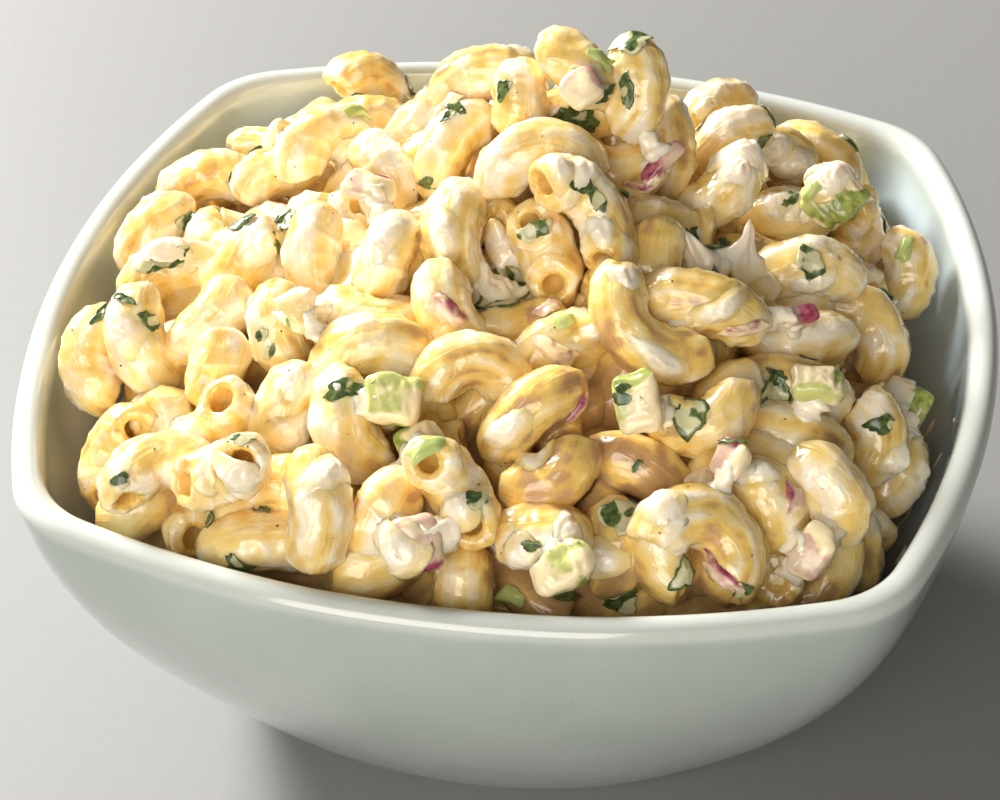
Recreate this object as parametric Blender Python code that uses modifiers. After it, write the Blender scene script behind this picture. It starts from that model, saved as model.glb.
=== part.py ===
"""Macaroni salad heaped in a square stoneware bowl.

The bowl is a turned shape whose round plan is squared off.  The salad is one fused heap: a core that
fills the bowl, with the elbows that show on it.  Celery and red onion are pieces of their own.
Lengths are millimetres with heights from the table, and MM turns them into metres for a mesh.
"""
import math
from dataclasses import dataclass

import bmesh
import bpy
import numpy as np
from mathutils import Vector

MM = 0.001

# Bowl
BOWL_HEIGHT = 66.0
RIM_HALF = 75.0          # middle of a side, to the crest of the lip
LIP = 2.3                # radius of the rounded lip
FOOT_HALF = 45.0
FLOOR = 7.0              # thickness of the bowl's floor
RIM_BOW = 0.256          # how far a side bows out, as a share of its half width
RIM_CORNER = 0.217       # corner radius, as a share of the half width
FOOT_BOW = 0.36
FOOT_CORNER = 0.8
FLARE_DEPTH_POWER = 1.7
FLARE_POWER = 1 / 1.1
FOOT_RING = 6.0          # width of the flat ring that the bowl stands on
FOOT_RECESS = 1.5
FOOT_EDGE = 1.0          # eased edge between the foot ring and the wall, and its height
FOOT_EASE = 1.2
BOWL_STEPS = 48
CORNER_CROWDING = 0.11   # draws the steps round the bowl towards its corners
INNER_ROWS = 8
OUTER_ROWS = 9
LIP_ROWS = 7
INNER_CROWDING = 1.6     # draws the inner rows towards the floor
OUTER_CROWDING = 0.8     # draws the outer rows towards the foot
FLAT_FLOOR_SHARE = 0.6   # share of the inner floor's half width where the profile has a point
SHARP_ANGLE = math.radians(40)
MERGE = 0.01

# Heap
HEAP_RISE = 23.0         # middle of the heap above the rim
HEAP_POWER = 1.35
PEAK = (4.0, 14.0)       # place, height and spread of the highest tuft
PEAK_RISE = 12.0
PEAK_SPREAD = 15.0
EDGE_TURNS = (-180, -135, -100, -60, -35, 0, 45, 90, 135, 180)
EDGE_DROPS = (4, 4, 0, 2, 20, 20, 8, 4, 9, 4)     # heap's edge below the rim, at those turns
EDGE_POWER = 5
OUTLINE_END = 1.05       # the outline is level from here outwards, as a share of the wall's radius
SLOPE_STEP = 0.5         # half the step over which a slope is measured, and the same as an angle
SLOPE_TURN = 0.01
RIM_ZONE = 2.0           # the wall is taken as straight from this far below the rim
CORE_DEPTH = 8.5         # bare core below the heap's outline
CORE_GAP = 0.9           # core to the bowl's wall
CORE_TURNS = 32
CORE_ROWS = 16
CORE_EDGE = 0.5          # where the core's grid turns down at the wall, and where it turns in at the floor
CORE_FOOT = 0.875

# Elbows
TUBE = 4.7               # radius of a cooked elbow with its dressing
BORE = 2.1
BORE_DEPTH = 3.2
BORE_TAPER = 0.2
END_TAPER = 0.84         # an end's radius, as a share of the tube's
TUBE_SIDES_GROWTH = 1.06  # six flat sides then hold what the round tube holds
BALLS = 8                # a piece is tested as a row of this many balls
END_INSET = 0.55         # last ball's distance from the end, as a share of the tube's radius
OVERLAP = 0.9            # how far two elbows may sink into each other
UNDER_OVERLAP = 2.6      # the same for the layer below
CLEARANCE = 0.5          # elbow to celery or onion
WALL_CLEARANCE = 1.2
VEGETABLE_MARGIN = 0.2   # added to the balls that stand for celery or onion
SETTLE_ROUNDS = 120      # rounds of pushing the laid pieces apart
SETTLE_REACH = 32.0      # pieces whose centres lie further apart than this don't meet
SETTLE_STEP = 0.8        # share of each push that is taken in one round, and of one from the wall
WALL_STEP = 0.7
SIDE_SHARE = 0.3         # laid pieces give way mostly along the line of sight, and this much sideways
CHANCE_TUBES = (0.93, 1.03)    # chance elbows: tube as a share of TUBE, bend, and arc in degrees
CHANCE_BENDS = (5.4, 7.2)
CHANCE_ARCS = (115, 175)
CHANCE_FLATNESS = 0.55   # how strongly a chance elbow's bend is laid along the heap
CHANCE_ROLL = 0.55
OPEN_SHARE = 0.3         # share of the chance elbows whose ends are open
FILL_REACH = 36.0        # a chance elbow is tested against pieces whose middles lie nearer than this
FILL_MARGIN = 3.0        # room left at the wall for a chance elbow's middle
PROUD = 2.2              # how far a chance elbow may stand over the outline, less this for each mm of depth
PROUD_FALL = 0.3
JOIN_DEPTH = 0.9         # an elbow sinks this far into what holds it
TOP_SECTIONS = 3         # rings along an elbow between its narrowed ends
UNDER_SECTIONS = 2
BEND_CUTS = 2
EDGE_SHARE = 0.3         # eased edge, as a share of a vegetable's thickness
KEPT_TRIANGLES = 0.76    # share of the fused heap's triangles that is kept
SEED = 7
SURFACE_TRIES = 7000
UNDER_TRIES = 2600
SURFACE_DEPTHS = (0.0, 1.0, 2.0, 3.0, 4.0)
UNDER_DEPTHS = (5.0, 6.5, 8.0)
UNDER_COUNT = 26
CENTRE_ROOM = 0.4        # share of the bend by which an elbow's centre may lie off its tube
GOLDEN_SHARE = 0.6180339887   # these two spread the places evenly over the heap
PLASTIC_SHARE = 0.7548776662

# The pieces that show from the front are laid by hand, as seen from this turn and rise.
SHOWN_TURN = math.radians(9.9)
SHOWN_RISE = math.radians(37.0)
RIGHT = np.array([math.cos(SHOWN_TURN), math.sin(SHOWN_TURN), 0.0])
NEAR = np.array([
    math.sin(SHOWN_TURN) * math.cos(SHOWN_RISE),
    -math.cos(SHOWN_TURN) * math.cos(SHOWN_RISE),
    math.sin(SHOWN_RISE),
])
UP = np.cross(NEAR, RIGHT)

# Elbows that show: across, back, lift over the heap's outline, aim, lean and spin in degrees, bend, arc
SHOWN_ELBOWS = (
    # the spire and the crest
    (6.5, 8, 9, 40, 25, 0, 5.6, 120),
    (15.5, 10, 11, 0, 50, 0, 5.4, 145),
    (20.5, 9.5, 4.5, 0, 60, 0, 6.5, 140),
    (15, 6, 0.5, 270, 40, 0, 6.5, 140),
    (1, 6, 5.5, 0, 60, 0, 5.5, 95),
    (-7, 13, 6, 95, 40, 0, 6.5, 150),
    (-12, 6, 2.5, 150, 60, 0, 6, 140),
    (-23, 24, 1, 130, 50, 0, 6, 140),
    (-31, 37, 1, 90, 50, 0, 5.5, 140),
    (-21, 3, 2.5, 20, 55, 0, 6, 140),
    (-34, 19, 4.5, 100, 20, 30, 5.5, 190),
    (-35, 50, 7.5, 70, 0, 40, 6, 140),
    (13, -6, 2.5, 40, -35, 5, 7.8, 150),
    (7, -12, 1.5, 20, -72, 0, 5.3, 150),
    (3, 0, 1.5, 100, 30, 0, 6.8, 170),
    (-7, -14, 3, 180, 60, 0, 6.5, 150),
    (8, 7, 2, 100, 60, 0, 6, 120),
    # the middle and the right
    (23, -26, 3.5, 225, 20, 0, 8, 160),
    (30, -14, 2, 75, 60, 0, 8.5, 120),
    (29, 12, 4, -45, 55, 0, 6.5, 125),
    (31, 35, 3, 120, 50, 0, 5.5, 130),
    (27, 57, 6.5, 90, 30, 40, 5.3, 150),
    (37, 38, 3, 80, 60, 0, 6, 140),
    (45, 50, 2, 60, 45, 0, 6, 140),
    (42, 22, 1, 95, 65, 0, 6, 130),
    (22, -9, 0.5, 180, 60, 0, 6, 140),
    (20, -2, 1.5, 90, 60, 0, 5.3, 110),
    (52, 55, 2, 60, 0, 30, 5.5, 150),
    (54, 28, 2, 45, -50, 45, 5.3, 150),
    (60, 26, 1.5, 0, 30, 0, 5.4, 140),
    (46, 2, 4.5, 90, 55, 0, 6, 160),
    (45, -12, 2.5, 265, 50, 0, 7, 130),
    (56, 2, 2, 30, 20, 0, 6.5, 170),
    (46, -25, 4, 80, 60, 0, 8, 120),
    (47, -34, 3, 70, 60, 0, 8, 120),
    (59, -21, 2.5, 0, 30, 0, 5.3, 125),
    (64, -23, 3.5, -40, 30, 0, 5.4, 130),
    (52, -38, 3.5, 30, 45, 0, 5.3, 140),
    (33, -38, 3.5, 285, 35, 0, 5.6, 160),
    # the front and the left
    (37, -55, 4, 60, -15, 10, 6.6, 200),
    (14, -61, 2.5, 90, 70, 0, 5.4, 120),
    (21, -58, -0.5, 0, 60, 0, 5.6, 120),
    (1, -59, 4.5, 34, -78, 0, 5.3, 170),
    (-11, -61, 4, 150, 60, 0, 5.3, 115),
    (3, -65, -0.5, 180, 70, 0, 6, 110),
    (-18, -48, 3.5, 200, 48, 0, 5.8, 160),
    (-16, -32, 2, 100, 45, 0, 6.2, 150),
    (0, -37, 3.5, 80, 15, 10, 5.6, 190),
    (9, -43, 3.5, 130, 65, 0, 7, 130),
    (12, -49, 1.5, 300, 35, 0, 5.3, 140),
    (-28, -44, 1.5, 170, 50, 0, 5.6, 140),
    (-20, -61, 3.5, 0, 65, 0, 6.5, 140),
    (10, -30, 1, 120, 60, 0, 6, 140),
    (-32, -56, 4, 0, -60, 70, 5.4, 150),
    (-25, -56, 2.5, 80, 60, 0, 5.4, 120),
    (-37, -59, 1, 200, -50, 60, 5.3, 150),
    (-40, -45, 1.5, -20, -45, 40, 6.5, 150),
    (-49, -54, 2.5, 120, -30, 20, 5.6, 160),
    (-29, -63, 0.5, 95, 60, 0, 7, 130),
    (-61.5, -28.5, 5, 180, 20, 10, 6, 150),
    (-55, -27, 4, 200, 60, 0, 6.5, 150),
    (-56, -8, 3, 110, 45, 0, 6, 150),
    (-44, -26, 4, -40, 60, 0, 5.6, 130),
    (-40, -38, 3, -20, 60, 0, 5.2, 100),
    (-43, -10, 3, -35, 60, 0, 5.6, 130),
    (-56, 21, 4, 95, 45, 0, 6.5, 140),
    (-64, 9, 4.5, 140, 55, 0, 6, 130),
    (-44, 20, 1.5, 100, 50, 0, 6, 140),
    (-30, -13, 2.5, 180, 60, 0, 6, 140),
    (-18, -18, 3.5, -20, 60, 0, 5.5, 120),
    (-17, -26, 1.5, 260, 50, 0, 7, 130),
    (-9, -25, 0.5, 200, 60, 0, 5.6, 130),
    (-32, -28, 1.5, 190, 60, 0, 5.6, 130),
    (25, -44, -0.5, 60, 60, 0, 5.6, 140),
    (56, -40, 1, 30, 60, 0, 6, 140),
    (44, -44, -0.5, 30, 60, 0, 5.6, 130),
)
# Cut vegetables that show: kind, across, back, lift, aim, lean, width, height, thickness, bend (0 is flat)
SHOWN_VEGETABLES = (
    ("celery", -11, -47, 6.5, 0, 20, 8, 7, 4.5, 12),
    ("celery", 48, 22, 5, 40, 10, 9.5, 8.5, 4.5, 11),
    ("celery", 49, -27, 6.5, -10, 50, 8.5, 5.5, 3.5, 12),
    ("celery", -28, -32, 5, 80, 20, 6.5, 3.5, 3, 0),
    ("celery", 24, -41, 2.5, 100, 10, 9, 6.5, 3.8, 12),
    ("celery", -6, -51, 3, 20, 30, 6.5, 5, 3.5, 10),
    ("celery", 63, -11, 1.5, 60, 20, 8.5, 7.5, 4, 12),
    ("celery", 16, -65, -0.5, 30, 20, 8.5, 6, 3.6, 12),
    ("onion", -21, -11, 6, -20, 40, 8, 5.5, 2.4, 14),
    ("onion", -4, -66, 3, 10, 10, 8, 8, 4.6, 0),
    ("onion", 9, 4, 8.5, 30, 20, 6, 6, 2.8, 12),
    ("onion", 21, 5, 2, 45, 40, 8.5, 2.8, 2.2, 14),
    ("onion", 38, -48, 5, 60, 30, 5.5, 5, 2.6, 10),
    ("onion", 51, -52, 2, 60, 20, 8, 5.5, 3.2, 10),
    ("onion", 42, -15, 3.5, 15, 40, 7.5, 2.8, 2.2, 0),
)

COLOURS = {
    "bowl": (0.60, 0.68, 0.63),
    "salad": (0.86, 0.70, 0.42),
    "celery": (0.52, 0.60, 0.20),
    "onion": (0.70, 0.42, 0.50),
}
ROUGHNESS = {"bowl": 0.15, "salad": 0.35, "celery": 0.3, "onion": 0.3}


def bowed_square(angle, bow, corner):
    """Polar radius of a square of half width 1 with bowed sides and round corners."""
    side_radius = (1 + bow * bow) / (2 * bow)
    side_centre = 1 - side_radius
    reach = side_radius - corner
    middle = (side_centre + math.sqrt(2 * reach * reach - side_centre ** 2)) / 2
    joint_x = side_centre + side_radius * (middle - side_centre) / reach
    joint_y = side_radius * middle / reach
    joint = math.atan2(joint_y, joint_x)
    turn = np.abs((np.asarray(angle) + math.pi / 4) % (math.pi / 2) - math.pi / 4)
    side = side_centre * np.cos(turn)
    side = side + np.sqrt(np.maximum(side_radius ** 2 - (side_centre * np.sin(turn)) ** 2, 0))
    rest = math.pi / 4 - turn
    round_end = math.sqrt(2) * middle * np.cos(rest)
    round_end = round_end + np.sqrt(np.maximum(corner ** 2 - 2 * (middle * np.sin(rest)) ** 2, 0))
    return np.where(turn < joint, side, round_end)


def flare(depth_share):
    """How far the wall has opened out: 1 at the rim, 0 at the bottom."""
    return (1 - np.clip(depth_share, 0, 1) ** FLARE_DEPTH_POWER) ** FLARE_POWER


def plan(angle, height):
    """Shape of the bowl's plan at a height, near round at the foot and square at the rim."""
    square = flare((BOWL_HEIGHT - np.asarray(height)) / BOWL_HEIGHT)
    foot = bowed_square(angle, FOOT_BOW, FOOT_CORNER)
    return square * bowed_square(angle, RIM_BOW, RIM_CORNER) + (1 - square) * foot


def outer_half(height):
    """Half width of the outer wall at a height."""
    return FOOT_HALF + (RIM_HALF + LIP - FOOT_HALF) * flare((BOWL_HEIGHT - height) / BOWL_HEIGHT)


def inner_half(height):
    """Half width of the inner wall at a height."""
    low = FOOT_HALF - FLOOR
    return low + (RIM_HALF - LIP - low) * flare((BOWL_HEIGHT - height) / (BOWL_HEIGHT - FLOOR))


def inner_radius(angle, height):
    """Polar radius of the inner wall, which above the rim goes straight up."""
    level = np.clip(height, FLOOR, BOWL_HEIGHT)
    return inner_half(level) * plan(angle, level)


def wall_room(points):
    """Distance from points to the inner wall, from the level gap and the wall's two slopes."""
    angle = np.arctan2(points[..., 1], points[..., 0])
    level = np.minimum(points[..., 2], BOWL_HEIGHT - RIM_ZONE)
    radius = inner_radius(angle, level)
    turned = inner_radius(angle + SLOPE_TURN, level) - inner_radius(angle - SLOPE_TURN, level)
    turn_slope = turned / (2 * SLOPE_TURN * radius)
    risen = inner_radius(angle, level + SLOPE_STEP) - inner_radius(angle, level - SLOPE_STEP)
    rise_slope = risen / (2 * SLOPE_STEP)
    gap = radius - np.hypot(points[..., 0], points[..., 1])
    return gap / np.sqrt(1 + turn_slope ** 2 + rise_slope ** 2)


def heap_top(across, back):
    """Height of the heap's outline: a dome with a tuft, lowered at the wall."""
    angle = np.arctan2(back, across)
    share = np.hypot(across, back) / (inner_half(BOWL_HEIGHT) * bowed_square(angle, RIM_BOW, RIM_CORNER))
    share = np.clip(share, 0, OUTLINE_END)
    dome = HEAP_RISE * (1 - share ** HEAP_POWER)
    drop = np.interp(np.degrees(angle), EDGE_TURNS, EDGE_DROPS) * share ** EDGE_POWER
    away = (across - PEAK[0]) ** 2 + (back - PEAK[1]) ** 2
    tuft = PEAK_RISE * np.exp(-away / (2 * PEAK_SPREAD ** 2))
    return BOWL_HEIGHT + dome - drop + tuft


def heap_normal(across, back):
    """Unit vector square to the heap's outline."""
    slope_x = (heap_top(across + SLOPE_STEP, back) - heap_top(across - SLOPE_STEP, back)) / (2 * SLOPE_STEP)
    slope_y = (heap_top(across, back + SLOPE_STEP) - heap_top(across, back - SLOPE_STEP)) / (2 * SLOPE_STEP)
    normal = np.stack([-slope_x, -slope_y, np.ones_like(slope_x)], axis=-1)
    return normal / np.linalg.norm(normal, axis=-1, keepdims=True)


@dataclass
class Elbow:
    """A bent tube: centre of its middle line, unit vectors to the bend's outside and along the tube."""

    centre: np.ndarray
    apex: np.ndarray
    along: np.ndarray
    bend: float
    arc: float
    tube: float
    open_ends: bool = False
    gap: float = 0.0

    def line(self, share):
        """Points of the middle line, with share from -1 at one end to 1 at the other."""
        half = self.arc / 2
        back_off = self.bend * math.sin(half) / half
        angle = np.asarray(share) * half
        arm = self.bend * np.cos(angle)[:, None] * self.apex + self.bend * np.sin(angle)[:, None] * self.along
        return self.centre - back_off * self.apex + arm

    def balls(self):
        """Centres of the balls that stand for the piece, less its own centre."""
        reach = 1 - END_INSET * self.tube / (self.bend * self.arc / 2)
        return self.line(np.linspace(-reach, reach, BALLS)) - self.centre

    def radius(self):
        """Radius of those balls."""
        return self.tube


@dataclass
class Vegetable:
    """A cut piece: a plate of some width, height and thickness, bent over its height if bend isn't 0."""

    kind: str
    centre: np.ndarray
    axes: np.ndarray
    width: float
    height: float
    thick: float
    bend: float
    gap: float = CLEARANCE

    def place(self, local):
        """Points of the plate carried from its own width, height and thickness into the heap."""
        wide, high, deep = local[:, 0], local[:, 1], local[:, 2]
        if self.bend:
            turn = wide / self.bend
            wide = (self.bend + deep) * np.sin(turn)
            deep = (self.bend + deep) * np.cos(turn) - self.bend
        return self.centre + np.stack([wide, high, deep], axis=1) @ self.axes

    def balls(self):
        """Centres of the balls that stand for the piece, less its own centre."""
        reach = (self.width - self.thick) / 2
        rise = (self.height - self.thick) / 2
        wide, high = np.meshgrid(np.linspace(-reach, reach, BALLS // 2), (-rise, rise))
        flat = np.stack([wide.ravel(), high.ravel(), np.zeros(BALLS)], axis=1)
        return self.place(flat) - self.centre

    def radius(self):
        """Radius of those balls."""
        return self.thick / 2 + VEGETABLE_MARGIN


def screen_frame(aim, lean, spin):
    """Unit vectors of a laid elbow: aim turns its apex in the picture, lean tips it nearer, spin rolls it."""
    aim, lean, spin = (math.radians(value) for value in (aim, lean, spin))
    apex = math.cos(lean) * (math.cos(aim) * RIGHT + math.sin(aim) * UP) + math.sin(lean) * NEAR
    flat = -math.sin(aim) * RIGHT + math.cos(aim) * UP
    return apex, math.cos(spin) * flat + math.sin(spin) * np.cross(apex, flat)


def shown_pieces():
    """The elbows and vegetables that are laid by hand."""
    pieces = []
    for across, back, lift, aim, lean, spin, bend, arc in SHOWN_ELBOWS:
        apex, along = screen_frame(aim, lean, spin)
        centre = np.array([across, back, heap_top(across, back) - TUBE + lift])
        pieces.append(Elbow(centre, apex, along, bend, math.radians(arc), TUBE, lean < 0))
    for kind, across, back, lift, aim, lean, width, height, thick, bend in SHOWN_VEGETABLES:
        wide = math.cos(math.radians(aim)) * RIGHT + math.sin(math.radians(aim)) * UP
        face = math.cos(math.radians(lean)) * NEAR + math.sin(math.radians(lean)) * np.cross(NEAR, wide)
        axes = np.stack([wide, np.cross(face, wide), face])
        centre = np.array([across, back, heap_top(across, back) - thick / 2 + lift])
        pieces.append(Vegetable(kind, centre, axes, width, height, thick, bend))
    return pieces


def push_apart(pieces):
    """Move the laid pieces until elbows overlap a little and vegetables are clear of everything."""
    centres = np.array([piece.centre for piece in pieces])
    balls = np.array([piece.balls() for piece in pieces])
    radii = np.array([piece.radius() for piece in pieces])
    gaps = np.array([piece.gap for piece in pieces])
    first, second = np.triu_indices(len(pieces), 1)
    close = np.linalg.norm(centres[first] - centres[second], axis=1) < SETTLE_REACH
    first, second = first[close], second[close]
    widest = np.maximum(gaps[first], gaps[second])
    wanted = radii[first] + radii[second] + np.where(widest > 0, widest, -OVERLAP)
    give = SIDE_SHARE * np.eye(3) + (1 - SIDE_SHARE) * np.outer(NEAR, NEAR)
    for _ in range(SETTLE_ROUNDS):
        spots = centres[:, None] + balls
        apart = spots[first][:, :, None] - spots[second][:, None]
        distance = np.linalg.norm(apart, axis=-1) + 1e-9
        press = np.maximum(wanted[:, None, None] - distance, 0)
        pair_push = (apart / distance[..., None] * press[..., None]).sum((1, 2)) / 2
        contacts = (press > 0).sum((1, 2))
        move = np.zeros_like(centres)
        count = np.zeros(len(pieces))
        np.add.at(move, first, pair_push)
        np.add.at(move, second, -pair_push)
        np.add.at(count, first, contacts)
        np.add.at(count, second, contacts)
        move = SETTLE_STEP * (move / np.maximum(count, 1)[:, None]) @ give
        short = np.minimum((wall_room(spots) - radii[:, None] - WALL_CLEARANCE).min(1), 0)
        out = centres[:, :2] / np.linalg.norm(centres[:, :2], axis=1)[:, None]
        move[:, :2] += WALL_STEP * out * short[:, None]
        centres += move
    for piece, centre in zip(pieces, centres):
        piece.centre = centre


def chance_elbow(draw, spot, normal):
    """An elbow of any heading whose bend lies roughly along the heap."""
    tube = TUBE * draw.uniform(*CHANCE_TUBES)
    bend = draw.uniform(*CHANCE_BENDS)
    arc = math.radians(draw.uniform(*CHANCE_ARCS))
    apex = draw.normal(size=3)
    apex -= CHANCE_FLATNESS * apex.dot(normal) * normal
    apex /= np.linalg.norm(apex)
    side = CHANCE_ROLL * draw.normal(size=3) + normal * draw.choice([-1, 1])
    side -= side.dot(apex) * apex
    side /= np.linalg.norm(side)
    along = np.cross(side, apex)
    return Elbow(spot - normal * tube, apex, along, bend, arc, tube, draw.random() < OPEN_SHARE)


def fill_room(pieces, tries, depths, overlap, most, draw):
    """Lay more elbows wherever one fits between the others, from the outline down."""
    spots = np.array([piece.centre + piece.balls() for piece in pieces])
    radii = np.array([piece.radius() for piece in pieces])
    gaps = np.array([piece.gap for piece in pieces])
    number = np.arange(tries)
    angles = 2 * math.pi * (number * GOLDEN_SHARE % 1)
    edges = inner_half(BOWL_HEIGHT) * bowed_square(angles, RIM_BOW, RIM_CORNER) - TUBE - FILL_MARGIN
    reaches = np.sqrt(number * PLASTIC_SHARE % 1) * edges
    across, back = reaches * np.cos(angles), reaches * np.sin(angles)
    places = np.stack([across, back, heap_top(across, back)], axis=1)
    normals = heap_normal(across, back)
    added = []
    for place, normal in zip(places, normals):
        elbow = chance_elbow(draw, place, normal)
        centres = elbow.centre - np.outer(depths, normal)
        close = np.linalg.norm(spots.mean(1) - elbow.centre, axis=1) < FILL_REACH
        laid = spots[close].reshape(-1, 3)
        gap = np.where(gaps[close] > 0, gaps[close], -overlap)
        wanted = elbow.tube + np.repeat(radii[close] + gap, BALLS)
        apart = np.linalg.norm(centres[:, None] - laid[None], axis=-1)
        roomy = (apart > wanted - CENTRE_ROOM * elbow.bend).all(1)
        if not roomy.any():
            continue
        balls = elbow.balls()
        for depth, centre in zip(np.array(depths)[roomy], centres[roomy]):
            here = centre + balls
            if (np.linalg.norm(here[:, None] - laid[None], axis=-1) < wanted).any():
                continue
            above = (here[:, 2] + elbow.tube - heap_top(here[:, 0], here[:, 1])).max()
            if above > PROUD - PROUD_FALL * depth or (wall_room(here) - elbow.tube).min() < WALL_CLEARANCE:
                continue
            elbow.centre = centre
            added.append(elbow)
            spots = np.concatenate([spots, here[None]])
            radii = np.append(radii, elbow.tube)
            gaps = np.append(gaps, 0.0)
            break
        if len(added) == most:
            break
    return added


def lay_heap():
    """All elbows, and the vegetables, each list in a fixed order."""
    draw = np.random.default_rng(SEED)
    pieces = shown_pieces()
    push_apart(pieces)
    vegetables = [piece for piece in pieces if isinstance(piece, Vegetable)]
    elbows = [piece for piece in pieces if isinstance(piece, Elbow)]
    surface = fill_room(pieces, SURFACE_TRIES, SURFACE_DEPTHS, OVERLAP, SURFACE_TRIES, draw)
    under = fill_room(pieces + surface, UNDER_TRIES, UNDER_DEPTHS, UNDER_OVERLAP, UNDER_COUNT, draw)
    return elbows, surface, under, vegetables


def join_to_heap(elbows):
    """Draw any elbow that touches neither the core nor the others towards its nearest neighbour."""
    spots = np.array([elbow.centre + elbow.balls() for elbow in elbows])
    radii = np.array([elbow.tube for elbow in elbows])
    low = (spots[..., 2] - radii[:, None] - heap_top(spots[..., 0], spots[..., 1]) + CORE_DEPTH).min(1)
    held = low < -JOIN_DEPTH
    while not held.all():
        loose = np.flatnonzero(~held)
        fixed = np.flatnonzero(held)
        apart = spots[loose][:, None, :, None] - spots[fixed][None, :, None]
        distance = np.linalg.norm(apart, axis=-1)
        gap = distance - radii[loose][:, None, None, None] - radii[fixed][None, :, None, None]
        who, whom, ball, other = np.unravel_index(gap.argmin(), gap.shape)
        short = gap[who, whom, ball, other] + JOIN_DEPTH
        if short > 0:
            move = -apart[who, whom, ball, other] / distance[who, whom, ball, other] * short
            spots[loose[who]] += move
            elbows[loose[who]].centre = elbows[loose[who]].centre + move
        held[loose[who]] = True


def add_object(name, mesh, collection):
    """Put a mesh into a collection as an object of that name."""
    thing = bpy.data.objects.new(name, mesh)
    collection.objects.link(thing)
    return thing


def mesh_of(form, name):
    """A mesh made from a bmesh, which is then freed."""
    mesh = bpy.data.meshes.new(name)
    form.to_mesh(mesh)
    form.free()
    return mesh


def give_material(thing, kind):
    """A plain material for one kind of piece."""
    material = bpy.data.materials.get(kind) or bpy.data.materials.new(kind)
    material.use_nodes = True
    shader = material.node_tree.nodes["Principled BSDF"]
    shader.inputs["Base Color"].default_value = (*COLOURS[kind], 1)
    shader.inputs["Roughness"].default_value = ROUGHNESS[kind]
    thing.data.materials.clear()
    thing.data.materials.append(material)


def apply_modifiers(thing):
    """Replace an object's mesh by what its modifiers make of it."""
    graph = bpy.context.evaluated_depsgraph_get()
    mesh = bpy.data.meshes.new_from_object(thing.evaluated_get(graph))
    thing.modifiers.clear()
    thing.data = mesh


def bowl_profile():
    """Half widths and heights from the middle of the inner floor, over the lip, to the middle of the foot."""
    inner_heights = FLOOR + (BOWL_HEIGHT - LIP - FLOOR) * np.linspace(0, 1, INNER_ROWS) ** INNER_CROWDING
    profile = [(0.0, FLOOR), (FLAT_FLOOR_SHARE * inner_half(FLOOR), FLOOR)]
    profile += [(float(inner_half(height)), float(height)) for height in inner_heights[:-1]]
    for turn in np.linspace(math.pi, 0, LIP_ROWS):
        profile.append((RIM_HALF + LIP * math.cos(turn), BOWL_HEIGHT - LIP + LIP * math.sin(turn)))
    outer_heights = (BOWL_HEIGHT - LIP) * (1 - np.linspace(0, 1, OUTER_ROWS)[1:-1] ** OUTER_CROWDING)
    profile += [(float(outer_half(height)), float(height)) for height in outer_heights]
    ring = FOOT_HALF - FOOT_EDGE
    profile += [(FOOT_HALF + FOOT_EASE / 2, FOOT_EASE), (ring, 0.0), (ring - FOOT_RING, 0.0)]
    profile += [(ring - FOOT_RING - FOOT_RECESS, FOOT_RECESS), (0.0, FOOT_RECESS)]
    return profile


def square_off(mesh):
    """Move a turned mesh's vertices so that its round plan becomes the bowl's."""
    points = np.empty(len(mesh.vertices) * 3)
    mesh.vertices.foreach_get("co", points)
    points = points.reshape(-1, 3) / MM
    radius = np.hypot(points[:, 0], points[:, 1])
    angle = np.arctan2(points[:, 1], points[:, 0])
    angle += CORNER_CROWDING * np.sin(4 * angle)
    radius *= plan(angle, points[:, 2])
    points[:, 0] = radius * np.cos(angle)
    points[:, 1] = radius * np.sin(angle)
    mesh.vertices.foreach_set("co", (points * MM).ravel())
    mesh.update()


def make_bowl(collection):
    """The bowl: a profile turned round the Z axis, then squared off."""
    form = bmesh.new()
    corners = [form.verts.new((half * MM, 0, height * MM)) for half, height in bowl_profile()]
    for start, end in zip(corners, corners[1:]):
        form.edges.new((start, end))
    bowl = add_object("bowl", mesh_of(form, "bowl"), collection)
    screw = bowl.modifiers.new("turn", "SCREW")
    screw.steps = BOWL_STEPS
    screw.render_steps = BOWL_STEPS
    screw.use_merge_vertices = True
    screw.merge_threshold = MERGE * MM
    apply_modifiers(bowl)
    square_off(bowl.data)
    bowl.data.shade_smooth()
    bowl.data.set_sharp_from_angle(angle=SHARP_ANGLE)
    give_material(bowl, "bowl")
    return bowl


def core_point(angle, share):
    """Point of the bare core: share runs from 0 at its top, over its edge, to 1 at its floor's middle."""
    if share <= CORE_EDGE:
        reach = share / CORE_EDGE * (float(inner_radius(angle, BOWL_HEIGHT)) - CORE_GAP)
        across, back = reach * math.cos(angle), reach * math.sin(angle)
        height = float(heap_top(across, back)) - CORE_DEPTH
        reach = min(reach, float(inner_radius(angle, height)) - CORE_GAP)
        return reach * math.cos(angle), reach * math.sin(angle), height
    edge = core_point(angle, CORE_EDGE)[2]
    floor = FLOOR + CORE_GAP / 2
    down = min((share - CORE_EDGE) / (CORE_FOOT - CORE_EDGE), 1)
    height = edge + (floor - edge) * down
    reach = float(inner_radius(angle, height)) - CORE_GAP
    if share > CORE_FOOT:
        reach *= (1 - share) / (1 - CORE_FOOT)
    return reach * math.cos(angle), reach * math.sin(angle), height


def make_core(collection):
    """The bare core: a sphere's grid drawn out to the bowl's inside and the heap's top."""
    form = bmesh.new()
    bmesh.ops.create_uvsphere(form, u_segments=CORE_TURNS, v_segments=CORE_ROWS, radius=1)
    for corner in form.verts:
        share = math.acos(max(-1, min(1, corner.co.z))) / math.pi
        angle = math.atan2(corner.co.y, corner.co.x)
        corner.co = Vector(core_point(angle, share)) * MM
    bmesh.ops.triangulate(form, faces=form.faces)
    return add_object("salad", mesh_of(form, "salad"), collection)


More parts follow.
